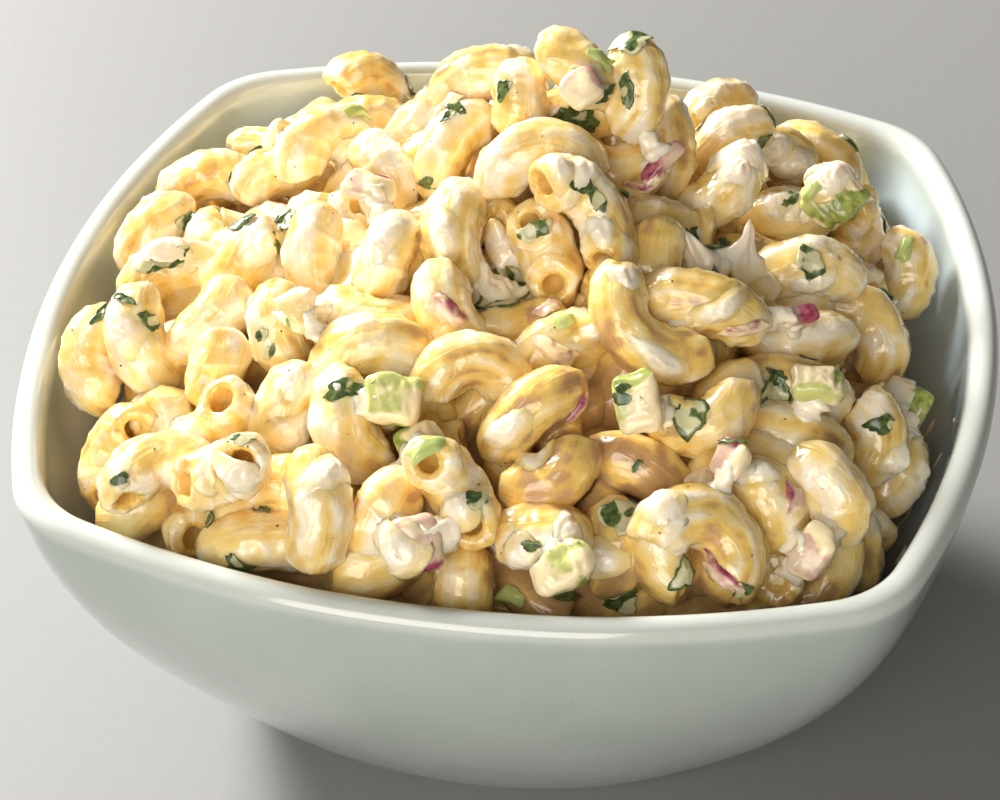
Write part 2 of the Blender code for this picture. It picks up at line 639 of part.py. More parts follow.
def make_elbow(elbow, collection, sections, open_ends):
    """One elbow: a curve with a bevel and narrowed ends, made a mesh, with a blind bore where it is open."""
    inset = END_INSET * elbow.tube / (elbow.bend * elbow.arc / 2)
    shares = np.concatenate([[-1], np.linspace(inset - 1, 1 - inset, sections), [1]])
    curve = bpy.data.curves.new("elbow", "CURVE")
    curve.dimensions = "3D"
    curve.bevel_depth = elbow.tube * TUBE_SIDES_GROWTH * MM
    curve.bevel_resolution = 1
    curve.use_fill_caps = True
    spline = curve.splines.new("POLY")
    spline.points.add(len(shares) - 1)
    for point, place in zip(spline.points, elbow.line(shares)):
        point.co = (*(place * MM), 1)
    spline.points[0].radius = END_TAPER
    spline.points[-1].radius = END_TAPER
    holder = add_object("elbow", curve, collection)
    bpy.context.view_layer.update()
    mesh = bpy.data.meshes.new_from_object(holder.evaluated_get(bpy.context.evaluated_depsgraph_get()))
    bpy.data.objects.remove(holder)
    form = bmesh.new()
    form.from_mesh(mesh)
    bmesh.ops.remove_doubles(form, verts=form.verts, dist=MERGE * MM)
    caps = [face for face in form.faces if len(face.verts) > 4]
    if open_ends:
        rim = (END_TAPER * elbow.tube - BORE) * MM
        bmesh.ops.inset_individual(form, faces=caps, thickness=rim)
        bmesh.ops.inset_individual(form, faces=caps, thickness=BORE_TAPER * MM, depth=-BORE_DEPTH * MM)
    bmesh.ops.triangulate(form, faces=form.faces)
    form.to_mesh(mesh)
    form.free()
    return add_object("elbow", mesh, collection)


def fuse(core, pieces):
    """Join a collection of pieces to the core, keep the one outer shell and thin out its slivers.

    The EXACT solver leaves open edges on this many crossing tubes, so MANIFOLD joins them.
    """
    union = core.modifiers.new("union", "BOOLEAN")
    union.operand_type = "COLLECTION"
    union.collection = pieces
    union.operation = "UNION"
    union.solver = "MANIFOLD"
    bpy.context.view_layer.update()
    apply_modifiers(core)
    for piece in list(pieces.objects):
        bpy.data.objects.remove(piece)
    form = bmesh.new()
    form.from_mesh(core.data)
    keep_largest_shell(form)
    bmesh.ops.triangulate(form, faces=form.faces)
    form.to_mesh(core.data)
    form.free()
    thin = core.modifiers.new("thin out slivers", "DECIMATE")
    thin.ratio = KEPT_TRIANGLES
    apply_modifiers(core)


def keep_largest_shell(form):
    """Drop every shell but the largest: loose scraps, and the inner skins of sealed hollows."""
    left = set(form.faces)
    shells = []
    while left:
        shell = [left.pop()]
        for face in shell:
            for edge in face.edges:
                for neighbour in edge.link_faces:
                    if neighbour in left:
                        left.remove(neighbour)
                        shell.append(neighbour)
        shells.append(shell)
    shells.sort(key=len)
    for shell in shells[:-1]:
        bmesh.ops.delete(form, geom=shell, context="FACES")


def make_vegetable(vegetable, name, collection):
    """One cut piece: a box sliced along its width, bent, with its edges eased."""
    form = bmesh.new()
    bmesh.ops.create_cube(form, size=1)
    if vegetable.bend:
        lengthwise = [edge for edge in form.edges if abs(edge.verts[0].co.x - edge.verts[1].co.x) > 0.5]
        bmesh.ops.subdivide_edges(form, edges=lengthwise, cuts=BEND_CUTS, use_grid_fill=True)
    size = (vegetable.width, vegetable.height, vegetable.thick)
    local = np.array([corner.co[:] for corner in form.verts]) * size
    for corner, place in zip(form.verts, vegetable.place(local)):
        corner.co = Vector(place) * MM
    bmesh.ops.recalc_face_normals(form, faces=form.faces)
    piece = add_object(name, mesh_of(form, name), collection)
    bevel = piece.modifiers.new("eased edges", "BEVEL")
    bevel.width = EDGE_SHARE * vegetable.thick * MM
    bevel.segments = 1
    bevel.limit_method = "ANGLE"
    bevel.angle_limit = SHARP_ANGLE
    give_material(piece, vegetable.kind)
    return piece


def main():
    """Clear the scene, then build the bowl, the heap and the vegetables."""
    for thing in list(bpy.data.objects):
        bpy.data.objects.remove(thing)
    model = bpy.data.collections.new("pasta salad")
    pieces = bpy.data.collections.new("pieces to fuse")
    bpy.context.scene.collection.children.link(model)
    bpy.context.scene.collection.children.link(pieces)
    make_bowl(model)
    shown, surface, under, vegetables = lay_heap()
    join_to_heap(shown + surface + under)
    core = make_core(model)
    for elbow in shown + surface:
        make_elbow(elbow, pieces, TOP_SECTIONS, elbow.open_ends)
    for elbow in under:
        make_elbow(elbow, pieces, UNDER_SECTIONS, False)
    fuse(core, pieces)
    give_material(core, "salad")
    bpy.data.collections.remove(pieces)
    counts = {}
    for vegetable in vegetables:
        counts[vegetable.kind] = counts.get(vegetable.kind, 0) + 1
        make_vegetable(vegetable, f"{vegetable.kind}_{counts[vegetable.kind]}", model)


main()
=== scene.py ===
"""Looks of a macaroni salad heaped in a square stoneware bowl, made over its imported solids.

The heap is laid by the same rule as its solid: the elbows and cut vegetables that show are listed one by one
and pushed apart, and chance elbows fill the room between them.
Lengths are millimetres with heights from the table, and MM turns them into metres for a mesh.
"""
import logging
import math
from dataclasses import dataclass
from enum import Enum
from typing import Sequence

import bpy
import numpy as np
from mathutils import Matrix, Vector


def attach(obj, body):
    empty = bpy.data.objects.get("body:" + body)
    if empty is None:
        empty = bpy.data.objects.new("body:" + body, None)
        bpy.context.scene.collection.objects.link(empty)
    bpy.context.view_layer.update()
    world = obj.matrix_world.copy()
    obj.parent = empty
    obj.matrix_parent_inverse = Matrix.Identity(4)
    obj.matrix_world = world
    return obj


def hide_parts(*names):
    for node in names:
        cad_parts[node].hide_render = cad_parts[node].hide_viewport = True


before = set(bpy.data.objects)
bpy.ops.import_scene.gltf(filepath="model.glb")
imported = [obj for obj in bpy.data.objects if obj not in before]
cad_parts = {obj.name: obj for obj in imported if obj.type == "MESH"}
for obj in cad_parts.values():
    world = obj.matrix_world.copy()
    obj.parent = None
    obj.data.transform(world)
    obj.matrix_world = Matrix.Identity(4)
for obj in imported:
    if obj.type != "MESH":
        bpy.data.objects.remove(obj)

Array = np.ndarray
MM = 0.001
TURN = 2 * math.pi
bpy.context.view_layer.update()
LOG = logging.getLogger("salad")
PASTA = "dressed pasta"
SIX_WAYS = np.concatenate([np.eye(3), -np.eye(3)])
TINY = 1e-9
FAINT = 1e-300
Colour = tuple[float, float, float]

# The pieces that show from the front are listed one by one, as seen from this turn and rise.
SHOWN_TURN = math.radians(9.9)
SHOWN_RISE = math.radians(37.0)
RIGHT = np.array([math.cos(SHOWN_TURN), math.sin(SHOWN_TURN), 0.0])
NEAR = np.array([
    math.sin(SHOWN_TURN) * math.cos(SHOWN_RISE),
    -math.cos(SHOWN_TURN) * math.cos(SHOWN_RISE),
    math.sin(SHOWN_RISE),
])
UP = np.cross(NEAR, RIGHT)

# Elbows that show: across, back, lift over the heap's outline, aim, lean and spin in degrees, bend, arc
SHOWN_ELBOWS = (
    # the spire and the crest
    (6.5, 8, 9, 40, 25, 0, 5.6, 120), (15.5, 10, 11, 0, 50, 0, 5.4, 145),
    (20.5, 9.5, 4.5, 0, 60, 0, 6.5, 140), (15, 6, 0.5, 270, 40, 0, 6.5, 140),
    (1, 6, 5.5, 0, 60, 0, 5.5, 95), (-7, 13, 6, 95, 40, 0, 6.5, 150), (-12, 6, 2.5, 150, 60, 0, 6, 140),
    (-23, 24, 1, 130, 50, 0, 6, 140), (-31, 37, 1, 90, 50, 0, 5.5, 140),
    (-21, 3, 2.5, 20, 55, 0, 6, 140), (-34, 19, 4.5, 100, 20, 30, 5.5, 190),
    (-35, 50, 7.5, 70, 0, 40, 6, 140), (13, -6, 2.5, 40, -35, 5, 7.8, 150),
    (7, -12, 1.5, 20, -72, 0, 5.3, 150), (3, 0, 1.5, 100, 30, 0, 6.8, 170),
    (-7, -14, 3, 180, 60, 0, 6.5, 150), (8, 7, 2, 100, 60, 0, 6, 120),
    # the middle and the right
    (23, -26, 3.5, 225, 20, 0, 8, 160), (30, -14, 2, 75, 60, 0, 8.5, 120),
    (29, 12, 4, -45, 55, 0, 6.5, 125), (31, 35, 3, 120, 50, 0, 5.5, 130),
    (27, 57, 6.5, 90, 30, 40, 5.3, 150), (37, 38, 3, 80, 60, 0, 6, 140), (45, 50, 2, 60, 45, 0, 6, 140),
    (42, 22, 1, 95, 65, 0, 6, 130), (22, -9, 0.5, 180, 60, 0, 6, 140),
    (20, -2, 1.5, 90, 60, 0, 5.3, 110), (52, 55, 2, 60, 0, 30, 5.5, 150),
    (54, 28, 2, 45, -50, 45, 5.3, 150), (60, 26, 1.5, 0, 30, 0, 5.4, 140),
    (46, 2, 4.5, 90, 55, 0, 6, 160), (45, -12, 2.5, 265, 50, 0, 7, 130),
    (56, 2, 2, 30, 20, 0, 6.5, 170), (46, -25, 4, 80, 60, 0, 8, 120), (47, -34, 3, 70, 60, 0, 8, 120),
    (59, -21, 2.5, 0, 30, 0, 5.3, 125), (64, -23, 3.5, -40, 30, 0, 5.4, 130),
    (52, -38, 3.5, 30, 45, 0, 5.3, 140), (33, -38, 3.5, 285, 35, 0, 5.6, 160),
    # the front and the left
    (37, -55, 4, 60, -15, 10, 6.6, 200), (14, -61, 2.5, 90, 70, 0, 5.4, 120),
    (21, -58, -0.5, 0, 60, 0, 5.6, 120), (1, -59, 4.5, 34, -78, 0, 5.3, 170),
    (-11, -61, 4, 150, 60, 0, 5.3, 115), (3, -65, -0.5, 180, 70, 0, 6, 110),
    (-18, -48, 3.5, 200, 48, 0, 5.8, 160), (-16, -32, 2, 100, 45, 0, 6.2, 150),
    (0, -37, 3.5, 80, 15, 10, 5.6, 190), (9, -43, 3.5, 130, 65, 0, 7, 130),
    (12, -49, 1.5, 300, 35, 0, 5.3, 140), (-28, -44, 1.5, 170, 50, 0, 5.6, 140),
    (-20, -61, 3.5, 0, 65, 0, 6.5, 140), (10, -30, 1, 120, 60, 0, 6, 140),
    (-32, -56, 4, 0, -60, 70, 5.4, 150), (-25, -56, 2.5, 80, 60, 0, 5.4, 120),
    (-37, -59, 1, 200, -50, 60, 5.3, 150), (-40, -45, 1.5, -20, -45, 40, 6.5, 150),
    (-49, -54, 2.5, 120, -30, 20, 5.6, 160), (-29, -63, 0.5, 95, 60, 0, 7, 130),
    (-61.5, -28.5, 5, 180, 20, 10, 6, 150), (-55, -27, 4, 200, 60, 0, 6.5, 150),
    (-56, -8, 3, 110, 45, 0, 6, 150), (-44, -26, 4, -40, 60, 0, 5.6, 130),
    (-40, -38, 3, -20, 60, 0, 5.2, 100), (-43, -10, 3, -35, 60, 0, 5.6, 130),
    (-56, 21, 4, 95, 45, 0, 6.5, 140), (-64, 9, 4.5, 140, 55, 0, 6, 130),
    (-44, 20, 1.5, 100, 50, 0, 6, 140), (-30, -13, 2.5, 180, 60, 0, 6, 140),
    (-18, -18, 3.5, -20, 60, 0, 5.5, 120), (-17, -26, 1.5, 260, 50, 0, 7, 130),
    (-9, -25, 0.5, 200, 60, 0, 5.6, 130), (-32, -28, 1.5, 190, 60, 0, 5.6, 130),
    (25, -44, -0.5, 60, 60, 0, 5.6, 140), (56, -40, 1, 30, 60, 0, 6, 140),
    (44, -44, -0.5, 30, 60, 0, 5.6, 130),
)
# Cut vegetables that show: kind, across, back, lift, aim, lean, width, height, thickness, bend (0 is flat),
# then their look: share under dressing, where the skin lies on the cut face (degrees), and where it starts
SHOWN_CUTS = (
    ("celery", -11, -47, 6.5, 0, 20, 8, 7, 4.5, 12, 0.35, -45, 0.35),
    ("celery", 48, 22, 5, 40, 10, 9.5, 8.5, 4.5, 11, 0.3, -100, -0.35),
    ("celery", 49, -27, 6.5, -10, 50, 8.5, 5.5, 3.5, 12, 0.4, 60, -0.6),
    ("celery", -28, -32, 5, 80, 20, 6.5, 3.5, 3, 0, 0.15, 0, -1.2),
    ("celery", 24, -41, 2.5, 100, 10, 9, 6.5, 3.8, 12, 0.5, 0, 0.35),
    ("celery", -6, -51, 3, 20, 30, 6.5, 5, 3.5, 10, 0.3, 0, -1.2),
    ("celery", 63, -11, 1.5, 60, 20, 8.5, 7.5, 4, 12, 0.1, 0, -1.2),
    ("celery", 16, -65, -0.5, 30, 20, 8.5, 6, 3.6, 12, 0.5, -90, 0.2),
    ("onion", -21, -11, 6, -20, 40, 8, 5.5, 2.4, 14, 0.25, 90, 0.45),
    ("onion", -4, -66, 3, 10, 10, 8, 8, 4.6, 0, 0.15, -90, 0.35),
    ("onion", 9, 4, 8.5, 30, 20, 6, 6, 2.8, 12, 0.55, 0, 0.3),
    ("onion", 21, 5, 2, 45, 40, 8.5, 2.8, 2.2, 14, 0.35, 180, -0.4),
    ("onion", 38, -48, 5, 60, 30, 5.5, 5, 2.6, 10, 0.55, 0, 0.3),
    ("onion", 51, -52, 2, 60, 20, 8, 5.5, 3.2, 10, 0.65, 0, 0.1),
    ("onion", 42, -15, 3.5, 15, 40, 7.5, 2.8, 2.2, 0, 0.35, 0, -0.3),
)

# Parsley that shows: its place in the photograph in pixels, length, width, turn in degrees, lobes,
# share under dressing, and how far its edge lifts
SHOWN_LEAVES = (
    (577, 117, 7.0, 4.6, -12, 3, 0.05, 0.5), (627, 90, 5.5, 2.2, 80, 2, 0.2, 0.4),
    (583, 186, 4.5, 2.6, -20, 3, 0.35, 0.3), (597, 200, 4.5, 2.0, -70, 2, 0.3, 0.3),
    (535, 230, 5.0, 3.2, 20, 2, 0.55, 0.8), (491, 276, 4.2, 2.4, -50, 3, 0.3, 0.6),
    (519, 284, 6.2, 4.0, -15, 4, 0.35, 0.5), (500, 303, 8.5, 5.0, 30, 4, 0.85, 0.5),
    (432, 184, 5.5, 2.2, 8, 3, 0.1, 0.3), (148, 262, 5.4, 3.6, -10, 3, 0.5, 0.3),
    (170, 258, 6.4, 3.4, 30, 4, 0.45, 0.4), (282, 226, 7.5, 3.6, 45, 4, 0.5, 0.4),
    (276, 242, 5.0, 3.2, -15, 3, 0.3, 0.3), (240, 222, 4.8, 3.2, 10, 3, 0.5, 0.3),
    (186, 222, 3.6, 2.6, 40, 3, 0.45, 0.3), (151, 321, 3.8, 2.6, -10, 3, 0.3, 0.2),
    (103, 312, 5.4, 1.8, 62, 2, 0.1, 0.2), (125, 300, 3.8, 1.6, -30, 2, 0.2, 0.2),
    (240, 565, 4.4, 2.8, -25, 3, 0.1, 0.3), (212, 516, 4.8, 2.2, -35, 3, 0.65, 0.3),
    (690, 414, 6.4, 5.2, -60, 2, 0.85, 0.2), (735, 440, 3.2, 1.8, -35, 2, 0.3, 0.2),
    (775, 391, 5.6, 5.2, 60, 1, 0.9, 0.2), (770, 376, 3.6, 2.2, -10, 3, 0.2, 0.2),
    (880, 425, 4.4, 2.8, 10, 3, 0.2, 0.3), (695, 244, 2.8, 1.8, -60, 2, 0.2, 0.2),
    (722, 246, 3.2, 2.4, 50, 3, 0.5, 0.2), (708, 264, 4.2, 1.8, -50, 2, 0.4, 0.2),
    (622, 514, 6.2, 5.6, 40, 3, 0.6, 0.3), (622, 599, 4.8, 3.4, 30, 3, 0.5, 0.2),
    (476, 500, 3.8, 2.8, 0, 3, 0.6, 0.2), (345, 390, 6.2, 3.0, 12, 3, 0.15, 0.3),
    (790, 199, 3.2, 2.2, 60, 3, 0.2, 0.2), (503, 90, 3.6, 2.2, 60, 3, 0.45, 0.2),
    (627, 396, 4.6, 3.0, -20, 3, 0.3, 0.3), (684, 574, 5.4, 3.2, 60, 3, 0.75, 0.2),
    (742, 590, 2.8, 2.2, 20, 3, 0.5, 0.2), (531, 546, 2.6, 1.8, 0, 3, 0.4, 0.2),
    (243, 441, 3.4, 2.4, 30, 3, 0.7, 0.2), (262, 335, 2.6, 1.6, 60, 2, 0.6, 0.2),
    (270, 352, 2.8, 1.4, 70, 2, 0.6, 0.2), (808, 358, 2.4, 1.0, 10, 2, 0.1, 0.2),
    (637, 466, 2.0, 1.2, 40, 2, 0.3, 0.1), (565, 595, 5.0, 1.8, 12, 3, 0.1, 0.2),
    (262, 510, 2.4, 1.8, 10, 3, 0.5, 0.2), (120, 481, 3.0, 2.2, 20, 3, 0.7, 0.2),
)
# Small slivers of vegetable that show: kind, pixels, length, width, thickness, turn, share under dressing
SHOWN_SLIVERS = (
    ("onion", 445, 310, 6.5, 3.4, 1.1, -35, 0.2), ("onion", 578, 410, 5.2, 2.0, 1.0, 62, 0.1),
    ("onion", 718, 572, 7.5, 2.4, 0.9, -38, 0.25), ("onion", 793, 498, 4.6, 3.0, 1.0, 70, 0.4),
    ("onion", 556, 352, 7.0, 3.0, 1.1, -30, 0.75), ("onion", 868, 182, 4.6, 4.0, 1.2, 70, 0.6),
    ("onion", 745, 330, 7.5, 2.2, 1.0, 5, 0.55), ("onion", 548, 308, 4.6, 3.0, 1.0, 60, 0.5),
    ("onion", 700, 482, 4.8, 3.2, 1.2, 30, 0.7), ("onion", 652, 184, 5.5, 2.2, 1.0, 50, 0.4),
    ("celery", 601, 60, 4.8, 2.8, 1.3, -10, 0.35), ("celery", 563, 321, 3.4, 2.8, 1.2, 10, 0.3),
    ("celery", 425, 449, 5.6, 3.2, 1.6, 25, 0.2), ("celery", 512, 596, 4.6, 2.6, 1.3, -10, 0.3),
    ("celery", 812, 190, 4.2, 2.6, 1.2, 40, 0.5), ("celery", 905, 250, 4.4, 2.4, 1.2, 70, 0.4),
)
# Dressing drawn out into peaks or left in dabs: pixels, half widths along and across, turn, height,
# lean and the lean's way
SHOWN_DABS = (
    (741, 264, 3.9, 3.4, 0, 3.0, 5.6, 100), (702, 266, 3.4, 3.0, 0, 2.6, 4.4, 112),
    (590, 335, 3.6, 1.8, 20, 1.4, 2.2, 25), (745, 150, 6.0, 3.6, 30, 1.5, 0, 0),
    (772, 152, 5.0, 3.4, 10, 1.6, 0, 0), (800, 165, 4.6, 3.4, -20, 1.5, 0, 0),
    (735, 170, 4.0, 3.0, 60, 1.3, 0, 0), (560, 165, 4.0, 3.0, -70, 0.9, 0, 0),
    (600, 230, 3.2, 2.6, -80, 0.9, 0, 0), (505, 250, 4.0, 2.6, -60, 0.8, 0, 0),
    (440, 232, 3.4, 5.0, 10, 0.8, 0, 0), (380, 240, 5.0, 4.0, 30, 1.0, 0, 0),
    (340, 160, 4.0, 6.0, 10, 0.8, 0, 0), (160, 250, 6.0, 4.0, 20, 0.9, 0, 0),
    (120, 330, 5.0, 4.0, -30, 0.8, 0, 0), (260, 245, 5.0, 3.6, 40, 1.1, 0, 0),
    (300, 430, 5.0, 4.0, 60, 0.8, 0, 0), (335, 470, 4.4, 3.4, 20, 0.9, 0, 0),
    (390, 550, 5.0, 4.2, 0, 1.0, 0, 0), (232, 480, 4.0, 3.0, 0, 0.7, 0, 0),
    (455, 505, 4.0, 3.0, 30, 0.8, 0, 0), (500, 290, 6.5, 4.6, 30, 1.3, 0, 0),
    (830, 175, 5.0, 3.6, 20, 1.1, 0, 0), (720, 310, 5.0, 2.4, 20, 0.8, 0, 0),
    (815, 285, 4.4, 3.0, 40, 0.9, 0, 0), (660, 360, 7.0, 3.0, -30, 0.6, 0, 0),
    (505, 430, 5.0, 3.4, 40, 0.7, 0, 0), (655, 500, 5.0, 3.6, 0, 0.8, 0, 0),
    (600, 560, 4.0, 3.2, 30, 0.8, 0, 0), (760, 470, 4.4, 2.6, 10, 0.8, 0, 0),
    (900, 460, 4.0, 3.0, 60, 1.0, 0, 0), (520, 560, 4.0, 3.0, 20, 0.8, 0, 0),
    (585, 170, 5.0, 2.8, 50, 0.8, 0, 0),
)
# Dressing smeared on the bowl's wall: pixels, half widths along and across, turn from level
SHOWN_SMEARS = (
    (918, 470, 4.5, 1.6, 60), (905, 520, 3.0, 1.2, 70), (930, 430, 3.2, 1.0, 80), (938, 462, 2.2, 0.7, 75),
    (955, 420, 0.6, 0.5, 0), (902, 555, 2.4, 1.2, 30), (88, 345, 1.1, 0.7, 20), (70, 392, 1.6, 0.8, 60),
    (160, 190, 1.4, 0.6, 20), (240, 130, 1.8, 0.7, 5), (860, 180, 1.8, 0.8, -20), (690, 100, 1.6, 0.6, 0),
)


class Kind(Enum):
    """What a cut vegetable is."""

    CELERY = "celery"
    ONION = "onion"


class Ending(Enum):
    """How an elbow ends: on its open bore, or closed by dressing."""

    OPEN = "open"
    FILLED = "filled"


def smooth_step(low: float, high: float, value: Array) -> Array:
    """Share from 0 at low to 1 at high, level at both ends.

    Args:
        low: value where the share is 0.
        high: value where it is 1.
        value: values to turn into shares.

    Returns:
        The shares, 3 s squared less 2 s cubed of the straight share s.
    """
    share = np.clip((value - low) / (high - low), 0, 1)
    return share * share * (3 - 2 * share)


def lengths(vectors: Array) -> Array:
    """Lengths of vectors along the last axis, kept as an axis of one."""
    return np.linalg.norm(vectors, axis=-1, keepdims=True)


def ring(turns: int) -> Array:
    """Angles spread evenly over a whole turn."""
    return np.linspace(0, TURN, turns, endpoint=False)


def polar(radius: Array, angle: Array, height: Array) -> Array:
    """Points by their distance from the upright axis, their turn about it and their height."""
    return np.stack([radius * np.cos(angle), radius * np.sin(angle), height], axis=-1)


def heading(degrees: float, first: Array, second: Array) -> Array:
    """The vector at an angle from the first of two vectors towards the second."""
    angle = math.radians(degrees)
    return math.cos(angle) * first + math.sin(angle) * second


def lobed(turn: Array, draw: np.random.Generator, *waves: tuple[int, float]) -> tuple[Array, Array]:
    """Outline of a waved circle: 1 plus a cosine for each wave, from a chance start.

    Args:
        turn: the outline's angles.
        draw: the seeded source of chance.
        waves: the number of lobes and the height of each wave.

    Returns:
        The outline's radii and the waves' starts.
    """
    starts = draw.uniform(0, TURN, len(waves))
    outline = 1.0
    for (lobes, rise), start in zip(waves, starts):
        outline = outline + rise * np.cos(lobes * turn + start)
    return outline, starts


def squared(value: Array, power: float) -> Array:
    """A sine or cosine raised to a power with its sign kept, which squares off a circle."""
    return np.sign(value) * np.abs(value) ** power


def oval(long: float, wide: float, reach: Array, outline: Array, turn: Array, power: float = 1.0) -> Array:
    """Rings of points in the plane out to an outline.

    Args:
        long: half length.
        wide: half width.
        reach: each ring's share of the way out.
        outline: the outline's radius at each turn, as a share of a circle's.
        turn: the outline's angles.
        power: how square it is, below 1.

    Returns:
        The points, by ring and turn.
    """
    along = long * reach * outline * squared(np.cos(turn), power)
    return np.stack([along, wide * reach * outline * squared(np.sin(turn), power)], axis=-1)


def capped(rows: int, *under: float) -> tuple[Array, Array]:
    """Rings of a cap with its underside.

    Args:
        rows: number of rings on top.
        under: shares of the way out of the rings below.

    Returns:
        Each ring's share of the way out, and whether it is on top.
    """
    reach = np.concatenate([np.linspace(0, 1, rows), under])[:, None]
    return reach, (np.arange(len(reach)) < rows)[:, None]


def add_object(name: str, data: bpy.types.ID) -> bpy.types.Object:
    """A new object in the scene, at the origin."""
    made = bpy.data.objects.new(name, data)
    bpy.context.scene.collection.objects.link(made)
    return made


def bowed_square(angle: Array, bow: float, corner: float) -> Array:
    """Polar radius of a square of half width 1 with bowed sides and round corners.

    Args:
        angle: polar angles.
        bow: how far a side bows out, as a share of the half width.
        corner: radius of the corners, as a share of the half width.

    Returns:
        The radius at each angle: of the side's circle up to the joint, of the corner's circle beyond it.
    """
    side_radius = (1 + bow * bow) / (2 * bow)
    side_centre = 1 - side_radius
    reach = side_radius - corner
    middle = (side_centre + math.sqrt(2 * reach * reach - side_centre ** 2)) / 2
    joint_x = side_centre + side_radius * (middle - side_centre) / reach
    joint_y = side_radius * middle / reach
    joint = math.atan2(joint_y, joint_x)
    turn = np.abs((np.asarray(angle) + math.pi / 4) % (math.pi / 2) - math.pi / 4)
    side = side_centre * np.cos(turn)
    side = side + np.sqrt(np.maximum(side_radius ** 2 - (side_centre * np.sin(turn)) ** 2, 0))
    rest = math.pi / 4 - turn
    round_end = math.sqrt(2) * middle * np.cos(rest)
    round_end = round_end + np.sqrt(np.maximum(corner ** 2 - 2 * (middle * np.sin(rest)) ** 2, 0))
    return np.where(turn < joint, side, round_end)


@dataclass(frozen=True)
class BowlForm:
    """The bowl's walls: a turned shape whose round plan is squared off towards the rim."""

    height: float = 66.0
    rim_half: float = 75.0
    lip: float = 2.3
    foot_half: float = 45.0
    floor: float = 7.0
    rim_bow: float = 0.256
    rim_corner: float = 0.217
    foot_bow: float = 0.36
    foot_corner: float = 0.8
    flare_depth_power: float = 1.7
    flare_power: float = 1 / 1.1
    slope_step: float = 0.5
    slope_turn: float = 0.01
    rim_zone: float = 2.0

    def flare(self, depth_share: Array) -> Array:
        """How far the wall has opened out: 1 at the rim, 0 at the bottom."""
        return (1 - np.clip(depth_share, 0, 1) ** self.flare_depth_power) ** self.flare_power

    def rim(self, angle: Array) -> Array:
        """Shape of the rim's plan, as a share of its half width."""
        return bowed_square(angle, self.rim_bow, self.rim_corner)

    def plan(self, angle: Array, height: Array) -> Array:
        """Shape of the plan at a height, near round at the foot and square at the rim.

        Args:
            angle: polar angles.
            height: heights from the table.

        Returns:
            The polar radius as a share of the half width there.
        """
        square = self.flare((self.height - np.asarray(height)) / self.height)
        foot = bowed_square(angle, self.foot_bow, self.foot_corner)
        return square * self.rim(angle) + (1 - square) * foot

    def outer_half(self, height: Array) -> Array:
        """Half width of the outer wall at a height."""
        opened = self.flare((self.height - height) / self.height)
        return self.foot_half + (self.rim_half + self.lip - self.foot_half) * opened

    def inner_half(self, height: Array) -> Array:
        """Half width of the inner wall at a height."""
        low = self.foot_half - self.floor
        return low + (self.rim_half - self.lip - low) * self.flare(
            (self.height - height) / (self.height - self.floor))

    def inner_radius(self, angle: Array, height: Array) -> Array:
        """Polar radius of the inner wall, which above the rim goes straight up."""
        level = np.clip(height, self.floor, self.height)
        return self.inner_half(level) * self.plan(angle, level)

    def wall_room(self, points: Array) -> Array:
        """Distance from points to the inner wall.

        Args:
            points: places inside the bowl.

        Returns:
            The level gap to the wall, less by the wall's two slopes there.
        """
        angle = np.arctan2(points[..., 1], points[..., 0])
        level = np.minimum(points[..., 2], self.height - self.rim_zone)
        radius = self.inner_radius(angle, level)
        turned = self.inner_radius(angle + self.slope_turn, level) - self.inner_radius(
            angle - self.slope_turn, level)
        turn_slope = turned / (2 * self.slope_turn * radius)
        risen = self.inner_radius(angle, level + self.slope_step) - self.inner_radius(
            angle, level - self.slope_step)
        rise_slope = risen / (2 * self.slope_step)
        gap = radius - np.hypot(points[..., 0], points[..., 1])
        return gap / np.sqrt(1 + turn_slope ** 2 + rise_slope ** 2)


@dataclass(frozen=True)
class HeapForm:
    """The heap's outline: a dome with a tuft, lowered at the wall."""

    bowl: BowlForm
    rise: float = 23.0
    power: float = 1.35
    peak: tuple[float, float] = (4.0, 14.0)
    peak_rise: float = 12.0
    peak_spread: float = 15.0
    edge_turns: tuple[float, ...] = (-180, -135, -100, -60, -35, 0, 45, 90, 135, 180)
    edge_drops: tuple[float, ...] = (4, 4, 0, 2, 20, 20, 8, 4, 9, 4)
    edge_power: float = 5
    outline_end: float = 1.05
    slope_step: float = 0.5

    def top(self, across: Array, back: Array) -> Array:
        """Height of the outline: dome, less the drop at the wall, plus the tuft.

        Args:
            across: places from left to right.
            back: places from front to back.

        Returns:
            The heights from the table.
        """
        angle = np.arctan2(back, across)
        share = np.hypot(across, back) / (self.bowl.inner_half(self.bowl.height) * self.bowl.rim(angle))
        share = np.clip(share, 0, self.outline_end)
        dome = self.rise * (1 - share ** self.power)
        drop = np.interp(np.degrees(angle), self.edge_turns, self.edge_drops) * share ** self.edge_power
        away = (across - self.peak[0]) ** 2 + (back - self.peak[1]) ** 2
        tuft = self.peak_rise * np.exp(-away / (2 * self.peak_spread ** 2))
        return self.bowl.height + dome - drop + tuft

    def normal(self, across: Array, back: Array) -> Array:
        """Unit vectors square to the outline, from its slopes over a short step.

        Args:
            across: places from left to right.
            back: places from front to back.

        Returns:
            One vector for each place.
        """
        step = self.slope_step
        slope_x = (self.top(across + step, back) - self.top(across - step, back)) / (2 * step)
        slope_y = (self.top(across, back + step) - self.top(across, back - step)) / (2 * step)
        normal = np.stack([-slope_x, -slope_y, np.ones_like(slope_x)], axis=-1)
        return normal / np.linalg.norm(normal, axis=-1, keepdims=True)


BALLS = 8
END_INSET = 0.55


